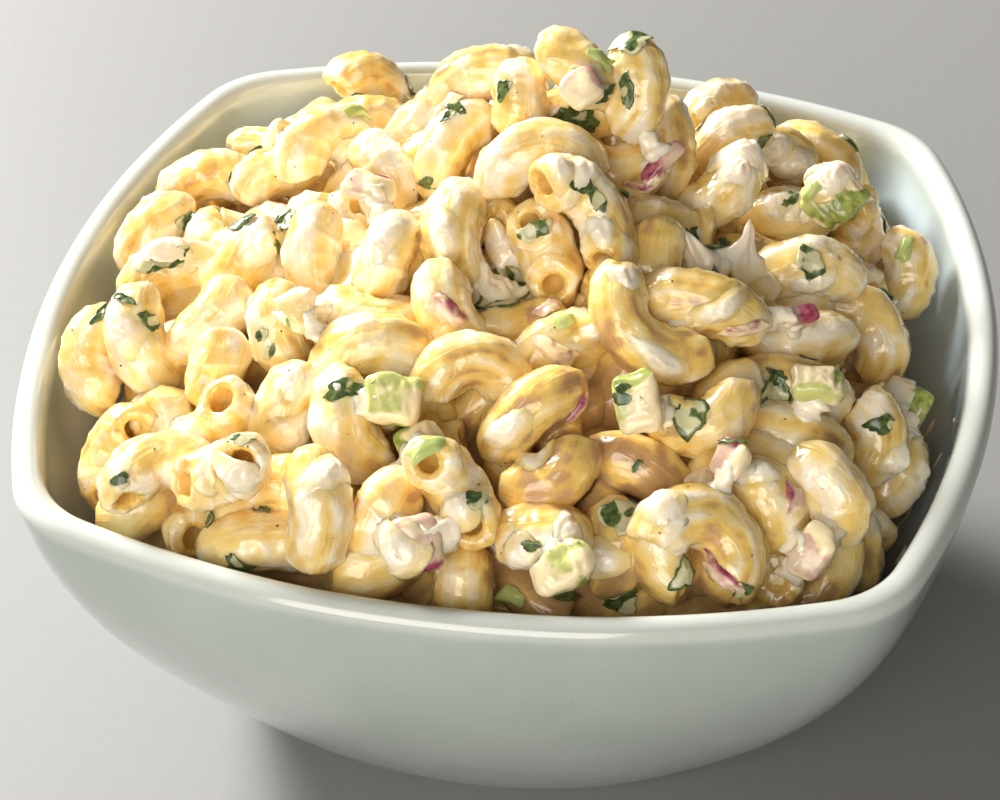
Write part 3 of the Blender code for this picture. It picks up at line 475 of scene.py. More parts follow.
@dataclass
class Elbow:
    """A bent tube: centre of its middle line, unit vectors to the bend's outside and along the tube."""

    centre: Array
    apex: Array
    along: Array
    bend: float
    arc: float
    tube: float
    ending: Ending = Ending.FILLED
    gap: float = 0.0

    @property
    def hub(self) -> Array:
        """Centre of the circle that the middle line lies on."""
        half = self.arc / 2
        return self.centre - self.bend * math.sin(half) / half * self.apex

    def line(self, share: Array) -> Array:
        """Points of the middle line.

        Args:
            share: from -1 at one end to 1 at the other.

        Returns:
            The points on the bend's circle at those shares of its arc.
        """
        half = self.arc / 2
        back_off = self.bend * math.sin(half) / half
        angle = np.asarray(share) * half
        arm = self.bend * np.cos(angle)[:, None] * self.apex + self.bend * np.sin(angle)[:, None] * self.along
        return self.centre - back_off * self.apex + arm

    def balls(self) -> Array:
        """Centres of the balls that stand for the piece, less its own centre."""
        reach = 1 - END_INSET * self.tube / (self.bend * self.arc / 2)
        return self.line(np.linspace(-reach, reach, BALLS)) - self.centre

    def radius(self) -> float:
        """Radius of those balls."""
        return self.tube


@dataclass
class Cut:
    """A cut piece of vegetable: a plate, bent over its height if bend isn't 0, and how it looks."""

    kind: Kind
    centre: Array
    axes: Array
    width: float
    height: float
    thick: float
    bend: float
    veil: float = 0.3
    skin_turn: float = 0.0
    skin_from: float = -1.0
    gap: float = 0.5
    margin: float = 0.2

    def place(self, local: Array) -> Array:
        """Points carried from the plate's width, height and thickness into the heap.

        Args:
            local: places in the flat plate, with the last axis wide, high and deep.

        Returns:
            The places once the plate is rolled to its bend, turned and moved.
        """
        wide, high, deep = local[..., 0], local[..., 1], local[..., 2]
        if self.bend:
            turn = wide / self.bend
            wide = (self.bend + deep) * np.sin(turn)
            deep = (self.bend + deep) * np.cos(turn) - self.bend
        return self.centre + np.stack([wide, high, deep], axis=-1) @ self.axes

    def unroll(self, points: Array) -> Array:
        """Places in the flat plate of points in the heap, the inverse of place."""
        local = (points - self.centre) @ self.axes.T
        if self.bend:
            wide, deep = local[..., 0], local[..., 2] + self.bend
            local = np.stack([
                np.arctan2(wide, deep) * self.bend, local[..., 1], np.hypot(wide, deep) - self.bend,
            ], axis=-1)
        return local

    def balls(self) -> Array:
        """Centres of the balls that stand for the piece, less its own centre."""
        reach = (self.width - self.thick) / 2
        rise = (self.height - self.thick) / 2
        wide, high = np.meshgrid(np.linspace(-reach, reach, BALLS // 2), (-rise, rise))
        flat = np.stack([wide.ravel(), high.ravel(), np.zeros(BALLS)], axis=1)
        return self.place(flat) - self.centre

    def radius(self) -> float:
        """Radius of those balls."""
        return self.thick / 2 + self.margin


def screen_frame(aim: float, lean: float, spin: float) -> tuple[Array, Array]:
    """Unit vectors of a laid elbow.

    Args:
        aim: how its apex turns in the picture, in degrees.
        lean: how far the apex tips nearer.
        spin: how far the elbow rolls about it.

    Returns:
        The vectors to the apex and along the tube.
    """
    apex = heading(lean, heading(aim, RIGHT, UP), NEAR)
    flat = heading(aim, UP, -RIGHT)
    return apex, heading(spin, flat, np.cross(apex, flat))


def gathered(pieces: Sequence[Elbow | Cut]) -> tuple[Array, Array, Array]:
    """Centres of the balls of each piece, with the balls' radius and the gap that it asks for."""
    spots = np.array([piece.centre + piece.balls() for piece in pieces])
    return spots, np.array([piece.radius() for piece in pieces]), np.array([piece.gap for piece in pieces])


@dataclass
class LaidHeap:
    """The pieces of the laid heap, from the listed ones down to the lowest layer."""

    shown: list[Elbow]
    surface: list[Elbow]
    under: list[Elbow]
    deep: list[Elbow]
    cuts: list[Cut]


@dataclass(frozen=True)
class Layer:
    """How one layer of chance elbows is laid.

    Args:
        tries: number of places tried, spread evenly over the heap.
        depths: depths below the outline, tried in turn.
        overlap: how far an elbow may sink into the others.
        most: number of elbows at which to stop.
    """

    tries: int
    depths: tuple[float, ...]
    overlap: float
    most: int


@dataclass
class Layout:
    """Lays the heap by the same rule, sizes and draws as its solid, and a deeper layer after them."""

    heap: HeapForm
    tube: float = 4.7
    overlap: float = 0.9
    wall_clearance: float = 1.2
    rounds: int = 120
    reach: float = 32.0
    step: float = 0.8
    wall_step: float = 0.7
    side_share: float = 0.3
    chance_tubes: tuple[float, float] = (0.93, 1.03)
    chance_bends: tuple[float, float] = (5.4, 7.2)
    chance_arcs: tuple[float, float] = (115, 175)
    chance_flatness: float = 0.55
    chance_roll: float = 0.55
    open_share: float = 0.3
    fill_reach: float = 36.0
    fill_margin: float = 3.0
    proud: float = 2.2
    proud_fall: float = 0.3
    centre_room: float = 0.4
    golden_share: float = 0.6180339887
    plastic_share: float = 0.7548776662
    core_depth: float = 8.5
    join_depth: float = 0.9
    seed: int = 7
    surface: Layer = Layer(7000, (0.0, 1.0, 2.0, 3.0, 4.0), 0.9, 7000)
    under: Layer = Layer(2600, (5.0, 6.5, 8.0), 2.6, 26)
    deep: Layer = Layer(9000, (1.5, 3.0, 4.5, 6.0, 8.0, 10.5, 13.5), 3.9, 215)

    def shown_pieces(self) -> list[Elbow | Cut]:
        """The elbows and cut vegetables that are listed one by one."""
        pieces: list[Elbow | Cut] = []
        for across, back, lift, aim, lean, spin, bend, arc in SHOWN_ELBOWS:
            apex, along = screen_frame(aim, lean, spin)
            centre = np.array([across, back, self.heap.top(across, back) - self.tube + lift])
            ending = Ending.OPEN if lean < 0 else Ending.FILLED
            pieces.append(Elbow(centre, apex, along, bend, math.radians(arc), self.tube, ending))
        for kind, across, back, lift, aim, lean, width, height, thick, bend, veil, turn, start in SHOWN_CUTS:
            wide = heading(aim, RIGHT, UP)
            face = heading(lean, NEAR, np.cross(NEAR, wide))
            axes = np.stack([wide, np.cross(face, wide), face])
            centre = np.array([across, back, self.heap.top(across, back) - thick / 2 + lift])
            pieces.append(Cut(Kind(kind), centre, axes, width, height, thick, bend, veil, turn, start))
        return pieces

    def push_apart(self, pieces: Sequence[Elbow | Cut]) -> None:
        """Move the laid pieces until elbows overlap a little and vegetables are clear of everything.

        Args:
            pieces: the pieces, whose centres are changed.
        """
        _, radii, gaps = gathered(pieces)
        centres = np.array([piece.centre for piece in pieces])
        balls = np.array([piece.balls() for piece in pieces])
        first, second = np.triu_indices(len(pieces), 1)
        close = np.linalg.norm(centres[first] - centres[second], axis=1) < self.reach
        first, second = first[close], second[close]
        widest = np.maximum(gaps[first], gaps[second])
        wanted = radii[first] + radii[second] + np.where(widest > 0, widest, -self.overlap)
        give = self.side_share * np.eye(3) + (1 - self.side_share) * np.outer(NEAR, NEAR)
        for _ in range(self.rounds):
            spots = centres[:, None] + balls
            apart = spots[first][:, :, None] - spots[second][:, None]
            distance = np.linalg.norm(apart, axis=-1) + TINY
            press = np.maximum(wanted[:, None, None] - distance, 0)
            pair_push = (apart / distance[..., None] * press[..., None]).sum((1, 2)) / 2
            contacts = (press > 0).sum((1, 2))
            move = np.zeros_like(centres)
            count = np.zeros(len(pieces))
            for ends, push in ((first, pair_push), (second, -pair_push)):
                np.add.at(move, ends, push)
                np.add.at(count, ends, contacts)
            move = self.step * (move / np.maximum(count, 1)[:, None]) @ give
            room = self.heap.bowl.wall_room(spots) - radii[:, None] - self.wall_clearance
            out = centres[:, :2] / np.linalg.norm(centres[:, :2], axis=1)[:, None]
            move[:, :2] += self.wall_step * out * np.minimum(room.min(1), 0)[:, None]
            centres += move
        for piece, centre in zip(pieces, centres):
            piece.centre = centre

    def chance_elbow(self, draw: np.random.Generator, spot: Array, normal: Array) -> Elbow:
        """An elbow of any heading whose bend lies roughly along the heap.

        Args:
            draw: the seeded source of chance.
            spot: place on the outline.
            normal: unit vector square to the outline there.

        Returns:
            The elbow, one tube's radius below the spot.
        """
        tube = self.tube * draw.uniform(*self.chance_tubes)
        bend = draw.uniform(*self.chance_bends)
        arc = math.radians(draw.uniform(*self.chance_arcs))
        apex = draw.normal(size=3)
        apex -= self.chance_flatness * apex.dot(normal) * normal
        apex /= np.linalg.norm(apex)
        side = self.chance_roll * draw.normal(size=3) + normal * draw.choice([-1, 1])
        side -= side.dot(apex) * apex
        side /= np.linalg.norm(side)
        along = np.cross(side, apex)
        ending = Ending.OPEN if draw.random() < self.open_share else Ending.FILLED
        return Elbow(spot - normal * tube, apex, along, bend, arc, tube, ending)

    def fill_room(self, pieces: Sequence[Elbow | Cut], rule: Layer, draw: np.random.Generator) -> list[Elbow]:
        """Lay more elbows wherever one fits between the others, from the outline down.

        Args:
            pieces: what lies there already.
            rule: how this layer is laid.
            draw: the seeded source of chance.

        Returns:
            The elbows that fitted.
        """
        bowl = self.heap.bowl
        spots, radii, gaps = gathered(pieces)
        number = np.arange(rule.tries)
        angles = TURN * (number * self.golden_share % 1)
        edges = bowl.inner_half(bowl.height) * bowl.rim(angles) - self.tube - self.fill_margin
        reaches = np.sqrt(number * self.plastic_share % 1) * edges
        across, back = reaches * np.cos(angles), reaches * np.sin(angles)
        places = np.stack([across, back, self.heap.top(across, back)], axis=1)
        added: list[Elbow] = []
        for place, normal in zip(places, self.heap.normal(across, back)):
            elbow = self.chance_elbow(draw, place, normal)
            centres = elbow.centre - np.outer(rule.depths, normal)
            close = np.linalg.norm(spots.mean(1) - elbow.centre, axis=1) < self.fill_reach
            laid = spots[close].reshape(-1, 3)
            gap = np.where(gaps[close] > 0, gaps[close], -rule.overlap)
            wanted = elbow.tube + np.repeat(radii[close] + gap, BALLS)
            apart = np.linalg.norm(centres[:, None] - laid[None], axis=-1)
            roomy = (apart > wanted - self.centre_room * elbow.bend).all(1)
            if not roomy.any():
                continue
            balls = elbow.balls()
            for depth, centre in zip(np.array(rule.depths)[roomy], centres[roomy]):
                here = centre + balls
                if (np.linalg.norm(here[:, None] - laid[None], axis=-1) < wanted).any():
                    continue
                above = (here[:, 2] + elbow.tube - self.heap.top(here[:, 0], here[:, 1])).max()
                short = (bowl.wall_room(here) - elbow.tube).min() < self.wall_clearance
                if above > self.proud - self.proud_fall * depth or short:
                    continue
                elbow.centre = centre
                added.append(elbow)
                spots = np.concatenate([spots, here[None]])
                radii = np.append(radii, elbow.tube)
                gaps = np.append(gaps, 0.0)
                break
            if len(added) == rule.most:
                break
        return added

    def join(self, elbows: Sequence[Elbow]) -> None:
        """Draw any elbow that touches neither the core nor the others towards its nearest neighbour.

        Args:
            elbows: the elbows, whose centres are changed.
        """
        spots, radii, _ = gathered(elbows)
        outline = self.heap.top(spots[..., 0], spots[..., 1])
        held = (spots[..., 2] - radii[:, None] - outline + self.core_depth).min(1) < -self.join_depth
        while not held.all():
            loose = np.flatnonzero(~held)
            fixed = np.flatnonzero(held)
            apart = spots[loose][:, None, :, None] - spots[fixed][None, :, None]
            distance = np.linalg.norm(apart, axis=-1)
            gap = distance - radii[loose][:, None, None, None] - radii[fixed][None, :, None, None]
            who, whom, ball, other = np.unravel_index(gap.argmin(), gap.shape)
            short = gap[who, whom, ball, other] + self.join_depth
            if short > 0:
                move = -apart[who, whom, ball, other] / distance[who, whom, ball, other] * short
                spots[loose[who]] += move
                elbows[loose[who]].centre = elbows[loose[who]].centre + move
            held[loose[who]] = True

    def lay(self) -> LaidHeap:
        """Lay the whole heap, each list in a fixed order."""
        draw = np.random.default_rng(self.seed)
        pieces = self.shown_pieces()
        self.push_apart(pieces)
        cuts = [piece for piece in pieces if isinstance(piece, Cut)]
        shown = [piece for piece in pieces if isinstance(piece, Elbow)]
        layers = []
        for rule in (self.surface, self.under, self.deep):
            layers.append(self.fill_room(pieces, rule, draw))
            pieces = pieces + layers[-1]
        surface, under, deep = layers
        self.join(shown + surface + under)
        return LaidHeap(shown, surface, under, deep, cuts)


@dataclass(frozen=True)
class Waves:
    """Smooth unevenness: many plane waves of chance headings and phases, about one length long."""

    length: float
    seed: int
    count: int = 22
    spread: tuple[float, float] = (0.7, 1.5)

    def at(self, points: Array) -> Array:
        """Sum of the waves' sines at points.

        Args:
            points: places in millimetres, on the last axis.

        Returns:
            Values about 0 that mostly lie between -2 and 2.
        """
        draw = np.random.default_rng(self.seed)
        vectors = draw.normal(size=(self.count, 3))
        vectors *= TURN / self.length * draw.uniform(*self.spread, size=(self.count, 1)) / lengths(vectors)
        phase = draw.uniform(0, TURN, self.count)
        flat = points.reshape(-1, 3)
        total = np.zeros(len(flat))
        for vector, start in zip(vectors, phase):
            total += np.sin(flat @ vector + start)
        return (total * math.sqrt(2 / self.count)).reshape(points.shape[:-1])


@dataclass(frozen=True)
class Dressing:
    """How the dressing lies on the pasta: thick and thin patches, lumps, drawn-out ridges, and painted shade
    deep down.
    """

    patches: Waves = Waves(13.0, 31)
    edges: Waves = Waves(3.6, 32)
    lumps: Waves = Waves(6.5, 33)
    ripples: Waves = Waves(3.0, 34)
    folds: Waves = Waves(5.5, 35)
    creases: Waves = Waves(11.0, 36)
    thick: float = 0.35
    lump_rise: float = 0.14
    ripple_rise: float = 0.055
    fold_rise: float = 0.11
    crease_rise: float = 0.2
    fold_width: float = 0.5
    crease_width: float = 0.3
    # The coat is lowered between these depths below the outline and round the valley's hollow: painted shade,
    # which turns the pasta brown and also thins the dressing's relief.
    shade_from_depth: float = 3.0
    shade_full_depth: float = 10.0
    depth_shade: float = 0.75
    hollow: tuple[float, float] = (18.0, -41.0)
    hollow_shade_reach: float = 11.0
    hollow_shade: float = 0.75
    blend: float = 1.9
    slim: float = 0.3
    usual: float = 0.52
    patch_share: float = 0.18
    edge_share: float = 0.1
    ridge_share: float = 0.22
    thin_share: float = 0.8
    even_coat: float = 0.6
    bare_share: float = 0.3

    def ridges(self, points: Array) -> tuple[Array, Array]:
        """Thin and wide ridges, from 0 to 1, where a slow wave passes through 0."""
        thin = np.exp(-(self.folds.at(points) / self.fold_width) ** 2)
        return thin, np.exp(-(self.creases.at(points) / self.crease_width) ** 2)

    def coat(self, points: Array, depth: Array | float = 0.0) -> Array:
        """Share of the dressing's full thickness, lowered deep in the heap and in the valley's hollow as
        painted shade.

        Args:
            points: places on the skin.
            depth: how far they lie below the heap's outline, where the coat is lowered as painted shade.

        Returns:
            The share, 0 on bare pasta, 1 where it lies thick, and less than 0 deep in the heap, where it is
            painted shade.
        """
        thin, wide = self.ridges(points)
        wave = self.usual + self.patch_share * self.patches.at(points)
        wave = wave + self.edge_share * self.edges.at(points)
        # Painted shade: the coat is lowered deep below the outline and round the valley's hollow.
        deep = self.depth_shade * smooth_step(self.shade_from_depth, self.shade_full_depth, depth)
        away = (points[..., 0] - self.hollow[0]) ** 2 + (points[..., 1] - self.hollow[1]) ** 2
        deep = deep + self.hollow_shade * np.exp(-away / (2 * self.hollow_shade_reach ** 2))
        return np.clip(wave + self.ridge_share * np.maximum(self.thin_share * thin, wide), 0, 1) - deep

    def relief(self, points: Array, coat: Array) -> Array:
        """Rise of the skin over the tube: the coat's thickness, lumps, ripples and ridges.

        Args:
            points: places on the tube.
            coat: the coat's share there.

        Returns:
            The rise in millimetres.
        """
        thin, wide = self.ridges(points)
        coat = np.maximum(coat, 0)
        fine = self.ripple_rise * self.ripples.at(points) + self.fold_rise * thin
        rise = self.thick * (coat - self.even_coat) + self.lump_rise * self.lumps.at(points)
        return rise + (self.bare_share + coat) * fine + self.crease_rise * wide * coat


class HeapField:
    """How far points lie from the elbows, the cut vegetables and the bed below them."""

    sunk: float = -2.0
    cut_ease: float = 0.3
    nothing: float = 99.0

    def __init__(self, elbows: Sequence[Elbow], cuts: Sequence[Cut], bed: "Bed", dressing: Dressing) -> None:
        """Gather the elbows' sizes into arrays.

        Args:
            elbows: all elbows of the heap.
            cuts: the cut vegetables.
            bed: the dressing below them.
            dressing: what joins them, with the sharpness of the joints and the tubes' slimness.
        """
        self.hub = np.array([elbow.hub for elbow in elbows])
        self.centre = np.array([elbow.centre for elbow in elbows])
        frames = [(elbow.apex, elbow.along, np.cross(elbow.apex, elbow.along)) for elbow in elbows]
        self.frame = np.array(frames)
        self.bend = np.array([elbow.bend for elbow in elbows])
        self.tube = np.array([elbow.tube for elbow in elbows]) - dressing.slim
        self.half = np.array([elbow.arc / 2 for elbow in elbows]) - END_INSET * self.tube / self.bend
        self.reach = self.bend + self.tube
        self.cuts = list(cuts)
        self.bed = bed
        self.blend = dressing.blend

    @property
    def everything(self) -> Array:
        """Numbers of all elbows."""
        return np.arange(len(self.tube))

    def near(self, points: Array, reach: float) -> Array:
        """Numbers of the elbows within reach of a group of points."""
        middle = points.reshape(-1, 3).mean(0)
        radius = np.linalg.norm(points.reshape(-1, 3) - middle, axis=1).max()
        return np.flatnonzero(np.linalg.norm(self.centre - middle, axis=1) < radius + reach + self.reach)

    def elbow_gaps(self, points: Array, which: Array) -> Array:
        """Distance from points to elbows' skins.

        Args:
            points: places, one to a row.
            which: numbers of the elbows.

        Returns:
            For each point and elbow the distance to the nearest point of its middle line, less its radius.
        """
        local = np.einsum("pkc,krc->pkr", points[:, None] - self.hub[which], self.frame[which])
        turn = np.clip(np.arctan2(local[..., 1], local[..., 0]), -self.half[which], self.half[which])
        across = local[..., 0] - self.bend[which] * np.cos(turn)
        along = local[..., 1] - self.bend[which] * np.sin(turn)
        return np.sqrt(across ** 2 + along ** 2 + local[..., 2] ** 2) - self.tube[which]

    def cut_gaps(self, points: Array) -> Array:
        """Distance from points to the cut vegetables near them, as from a box with round edges.

        Args:
            points: places, one to a row.

        Returns:
            A column for each cut near them, or one of a great distance.
        """
        middle = points.mean(0)
        found = []
        for cut in self.cuts:
            reach = np.linalg.norm(points - middle, axis=1).max() + cut.width + cut.height
            if np.linalg.norm(cut.centre - middle) > reach:
                continue
            ease = self.cut_ease * cut.thick
            half = np.array([cut.width, cut.height, cut.thick]) / 2 - ease
            out = np.abs(cut.unroll(points)) - half
            outside = np.linalg.norm(np.maximum(out, 0), axis=-1)
            found.append(outside + np.minimum(out.max(-1), 0) - ease)
        return np.stack(found, axis=1) if found else np.full((len(points), 1), self.nothing)

    def crowd(self, points: Array, which: Array, with_bed: bool = True) -> Array:
        """Nearness of everything at points: the sum over things of exp(-blend times distance)."""
        gaps = [self.elbow_gaps(points, which), self.cut_gaps(points)]
        if with_bed:
            gaps.append((points[:, 2] - self.bed.level(points))[:, None])
        return sum(np.exp(-self.blend * np.maximum(gap, self.sunk)).sum(1) for gap in gaps)

    def height(self, points: Array, which: Array) -> Array:
        """Distance from points to the smooth skin round everything, before the dressing's relief."""
        return -np.log(self.crowd(points, which) + FAINT) / self.blend


@dataclass
class Bed:
    """The salad's body below the loose elbows: a closed core whose top is uneven dressing."""

    heap: HeapForm
    depth: float = 12.5
    gap: float = 0.9
    turns: int = 168
    rows: int = 84
    side_rows: int = 12
    wall_drop: float = 13.0
    wall_zone: tuple[float, float] = (1.0, 16.0)
    swell: Waves = Waves(13.0, 41)
    lumps: Waves = Waves(5.0, 42)
    swell_rise: float = 0.9
    lump_rise: float = 0.35

    def level(self, points: Array) -> Array:
        """Height of the bed's top: the outline less its depth, lower at the wall, with swells and lumps."""
        flat = points * (1, 1, 0)
        wave = self.swell_rise * self.swell.at(flat) + self.lump_rise * self.lumps.at(flat)
        bowl = self.heap.bowl
        angle = np.arctan2(points[..., 1], points[..., 0])
        room = bowl.inner_radius(angle, bowl.height) - np.hypot(points[..., 0], points[..., 1])
        drop = self.wall_drop * (1 - smooth_step(*self.wall_zone, room))
        return self.heap.top(points[..., 0], points[..., 1]) - self.depth - drop + wave

    def grid(self) -> Array:
        """Rings from the top's middle over the edge and down the wall to the floor's middle."""
        bowl = self.heap.bowl
        angle = ring(self.turns)
        share = np.linspace(0, 1, self.rows)[:, None]
        reach = share * (bowl.inner_radius(angle, bowl.height) - self.gap)
        top = polar(reach, angle, 0 * reach)
        top[..., 2] = self.level(top)
        inside = np.minimum(reach, bowl.inner_radius(angle, top[..., 2]) - self.gap)
        top = polar(inside, angle, top[..., 2])
        floor = bowl.floor + self.gap / 2
        down = np.linspace(0, 1, self.side_rows + 1)[1:, None]
        height = top[-1, :, 2] + (floor - top[-1, :, 2]) * down
        wall = bowl.inner_radius(angle, height) - self.gap
        side = polar(wall, angle, height)
        base = side[-1] * np.linspace(1, 0, self.side_rows + 1)[1:, None, None]
        base[..., 2] = floor
        return np.concatenate([top, side, base])


def closed_faces(rows: int, turns: int) -> tuple[Array, Array]:
    """Faces of a grid of rings whose first and last row are single points.

    Args:
        rows: number of rows, with the two end points.
        turns: points on a ring.

    Returns:
        The triangles at the two ends and the quads between the rings, as vertex numbers.
    """
    here = np.arange(turns)
    following = (here + 1) % turns
    last = 1 + (rows - 3) * turns
    end = last + turns
    first_fan = np.stack([0 * here, 1 + here, 1 + following], axis=1)
    last_fan = np.stack([0 * here + end, last + following, last + here], axis=1)
    start = 1 + turns * np.arange(rows - 3)[:, None]
    corners = [start + here, start + turns + here, start + turns + following, start + following]
    return np.concatenate([first_fan, last_fan]), np.stack(corners, axis=-1).reshape(-1, 4)


def weave(name: str, grids: Array, marks: dict[str, Array], material: bpy.types.Material) -> bpy.types.Object:
    """Make one mesh object of closed grids of one size.

    Args:
        name: the piece's name.
        grids: points in millimetres, by grid, row and turn. The first and last row close to a point.
        marks: values or vectors for the material, by grid, row and turn.
        material: the piece's finish.

    Returns:
        The object, at the origin, with faces that point outwards.
    """
    count, rows, turns, _ = grids.shape
    triangles, quads = closed_faces(rows, turns)

    def gather(values: Array) -> Array:
        """Values by vertex: one for each end row and all of the rows between."""
        flat = values.reshape(count, rows, turns, -1)
        middle = flat[:, 1:-1].reshape(count, (rows - 2) * turns, -1)
        return np.concatenate([flat[:, :1, 0], middle, flat[:, -1:, 0]], axis=1)

    points = gather(grids)
    corner = points[:, quads] - points[:, :1, None]
    across = np.cross(corner[:, :, 2] - corner[:, :, 0], corner[:, :, 3] - corner[:, :, 1])
    inside_out = (across * corner.mean(2)).sum((1, 2)) < 0
    grids = np.where(inside_out[:, None, None, None], grids[:, :, ::-1], grids)
    for mark, values in marks.items():
        marks[mark] = values.copy()
        marks[mark][inside_out] = values[inside_out][:, :, ::-1]
    points = gather(grids)
    shift = (np.arange(count) * points.shape[1])[:, None, None]
    loops = np.concatenate([(triangles + shift).ravel(), (quads + shift).ravel()])
    starts = np.concatenate([
        3 * np.arange(count * len(triangles)),
        3 * count * len(triangles) + 4 * np.arange(count * len(quads)),
    ])
    mesh = bpy.data.meshes.new(name)
    mesh.vertices.add(count * points.shape[1])
    mesh.loops.add(len(loops))
    mesh.polygons.add(len(starts))
    mesh.vertices.foreach_set("co", (points * MM).astype(np.float32).ravel())
    mesh.loops.foreach_set("vertex_index", loops.astype(np.int32))
    mesh.polygons.foreach_set("loop_start", starts.astype(np.int32))
    for mark, values in marks.items():
        wide = values.ndim == grids.ndim
        layer = mesh.attributes.new(mark, "FLOAT_VECTOR" if wide else "FLOAT", "POINT")
        layer.data.foreach_set("vector" if wide else "value", gather(values).astype(np.float32).ravel())
    mesh.update(calc_edges=True)
    mesh.validate()
    mesh.shade_smooth()
    mesh.materials.append(material)
    return add_object(name, mesh)


def add_piece(name: str, slot: str, grids: Array, marks: dict[str, Array], material: bpy.types.Material,
              *nodes: str) -> None:
    """Weave a piece that rides on the one body, and hide the nodes that it stands for.

    Args:
        name: the piece's name.
        slot: not used.
        grids: points in millimetres, by grid, row and turn.
        marks: values or vectors for the material, by grid, row and turn.
        material: the piece's finish.
        nodes: the nodes that it replaces.
    """
    piece = weave(name, grids, marks, material)
    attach(piece, "root")
    if nodes:
        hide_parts(*nodes)
    faces = len(piece.data.loops) - 2 * len(piece.data.polygons)
    LOG.info("%s: %d triangles", piece.name, faces)


class Bench:
    """Adds nodes to one material and joins them."""

    def __init__(self, name: str) -> None:
        """Start a material of that name on its Principled shader."""
        self.material = bpy.data.materials.new(name)
        self.material.use_nodes = True
        self.nodes = self.material.node_tree.nodes
        self.links = self.material.node_tree.links
        self.shader = self.nodes["Principled BSDF"]
        self.place = self.add("ShaderNodeTexCoord").outputs["Object"]

    def add(self, kind: str, inputs: dict | None = None, **settings: object) -> bpy.types.Node:
        """Add a node.

        Args:
            kind: the node's type.
            inputs: a value or another node's output for each named or numbered input.
            settings: values of the node's own properties.

        Returns:
            The node.
        """
        node = self.nodes.new(kind)
        for key, value in settings.items():
            setattr(node, key, value)
        for key, value in (inputs or {}).items():
            self.put(node, key, value)
        return node

    def put(self, node: bpy.types.Node, key: str | int, value: object) -> None:
        """Join an output to an input, or set the input's value."""
        if isinstance(value, bpy.types.NodeSocket):
            self.links.new(value, node.inputs[key])
        else:
            node.inputs[key].default_value = value

    def mark(self, name: str) -> bpy.types.NodeSocket:
        """A mark that the mesh carries."""
        return self.add("ShaderNodeAttribute", attribute_name=name).outputs["Fac"]

    def noise(self, length: float, detail: float = 3.0, rough: float = 0.5,
              grain: bool = False) -> bpy.types.NodeSocket:
        """Noise from 0 to 1 with features of a length in millimetres, drawn out along the grain if asked."""
        place, unit = self.place, MM
        if grain:
            place, unit = self.add("ShaderNodeAttribute", attribute_name="grain").outputs["Vector"], 1
        settings = {"Vector": place, "Scale": 1 / (length * unit), "Detail": detail, "Roughness": rough}
        return self.add("ShaderNodeTexNoise", settings).outputs["Fac"]

    def maths(self, operation: str, *values: object) -> bpy.types.NodeSocket:
        """One sum on one to three values."""
        return self.add("ShaderNodeMath", dict(enumerate(values)), operation=operation).outputs[0]

    def centred(self, value: object) -> bpy.types.NodeSocket:
        """The value less a half."""
        return self.maths("SUBTRACT", value, 0.5)

    def plus(self, total: object, value: object, weight: object) -> bpy.types.NodeSocket:
        """The total plus the value times a weight."""
        return self.maths("MULTIPLY_ADD", value, weight, total)

    def spread(self, value: object, low: float, high: float, start: float = 0.0,
               end: float = 1.0) -> bpy.types.NodeSocket:
        """The value's smooth share between low and high, as a number from start to end."""
        inputs = {"Value": value, "From Min": low, "From Max": high, "To Min": start, "To Max": end}
        return self.add("ShaderNodeMapRange", inputs, interpolation_type="SMOOTHSTEP").outputs["Result"]

    def scale(self, value: object, low: float, high: float) -> bpy.types.NodeSocket:
        """The value's straight share between low and high."""
        inputs = {"Value": value, "From Min": low, "From Max": high}
        return self.add("ShaderNodeMapRange", inputs).outputs["Result"]

    def blend(self, share: object, first: object, second: object) -> bpy.types.NodeSocket:
        """A colour between two, by a share."""
        node = self.add("ShaderNodeMix", data_type="RGBA")
        for key, value in ((0, share), (6, first), (7, second)):
            self.put(node, key, (*value, 1) if isinstance(value, tuple) else value)
        return node.outputs[2]

    def ramp(self, share: object, stops: Sequence[tuple[float, Colour]]) -> bpy.types.NodeSocket:
        """A colour from a row of stops."""
        node = self.add("ShaderNodeValToRGB", {"Fac": share})
        while len(node.color_ramp.elements) < len(stops):
            node.color_ramp.elements.new(0.5)
        for element, (place, colour) in zip(node.color_ramp.elements, stops):
            element.position = place
            element.color = (*colour, 1)
        return node.outputs["Color"]

    def relief(self, height: object, strength: float, distance: float) -> None:
        """Bump of a height over a distance in millimetres, on the shader's normal."""
        bump = self.add("ShaderNodeBump", {"Height": height, "Strength": strength, "Distance": distance * MM})
        self.put(self.shader, "Normal", bump.outputs["Normal"])

    def finish(self, **sockets: object) -> bpy.types.Material:
        """Set the shader's sockets, written with _ for a space, and return the material."""
        for key, value in sockets.items():
            self.put(self.shader, key.replace("_", " ").title().replace("Ior", "IOR"), value)
        return self.material


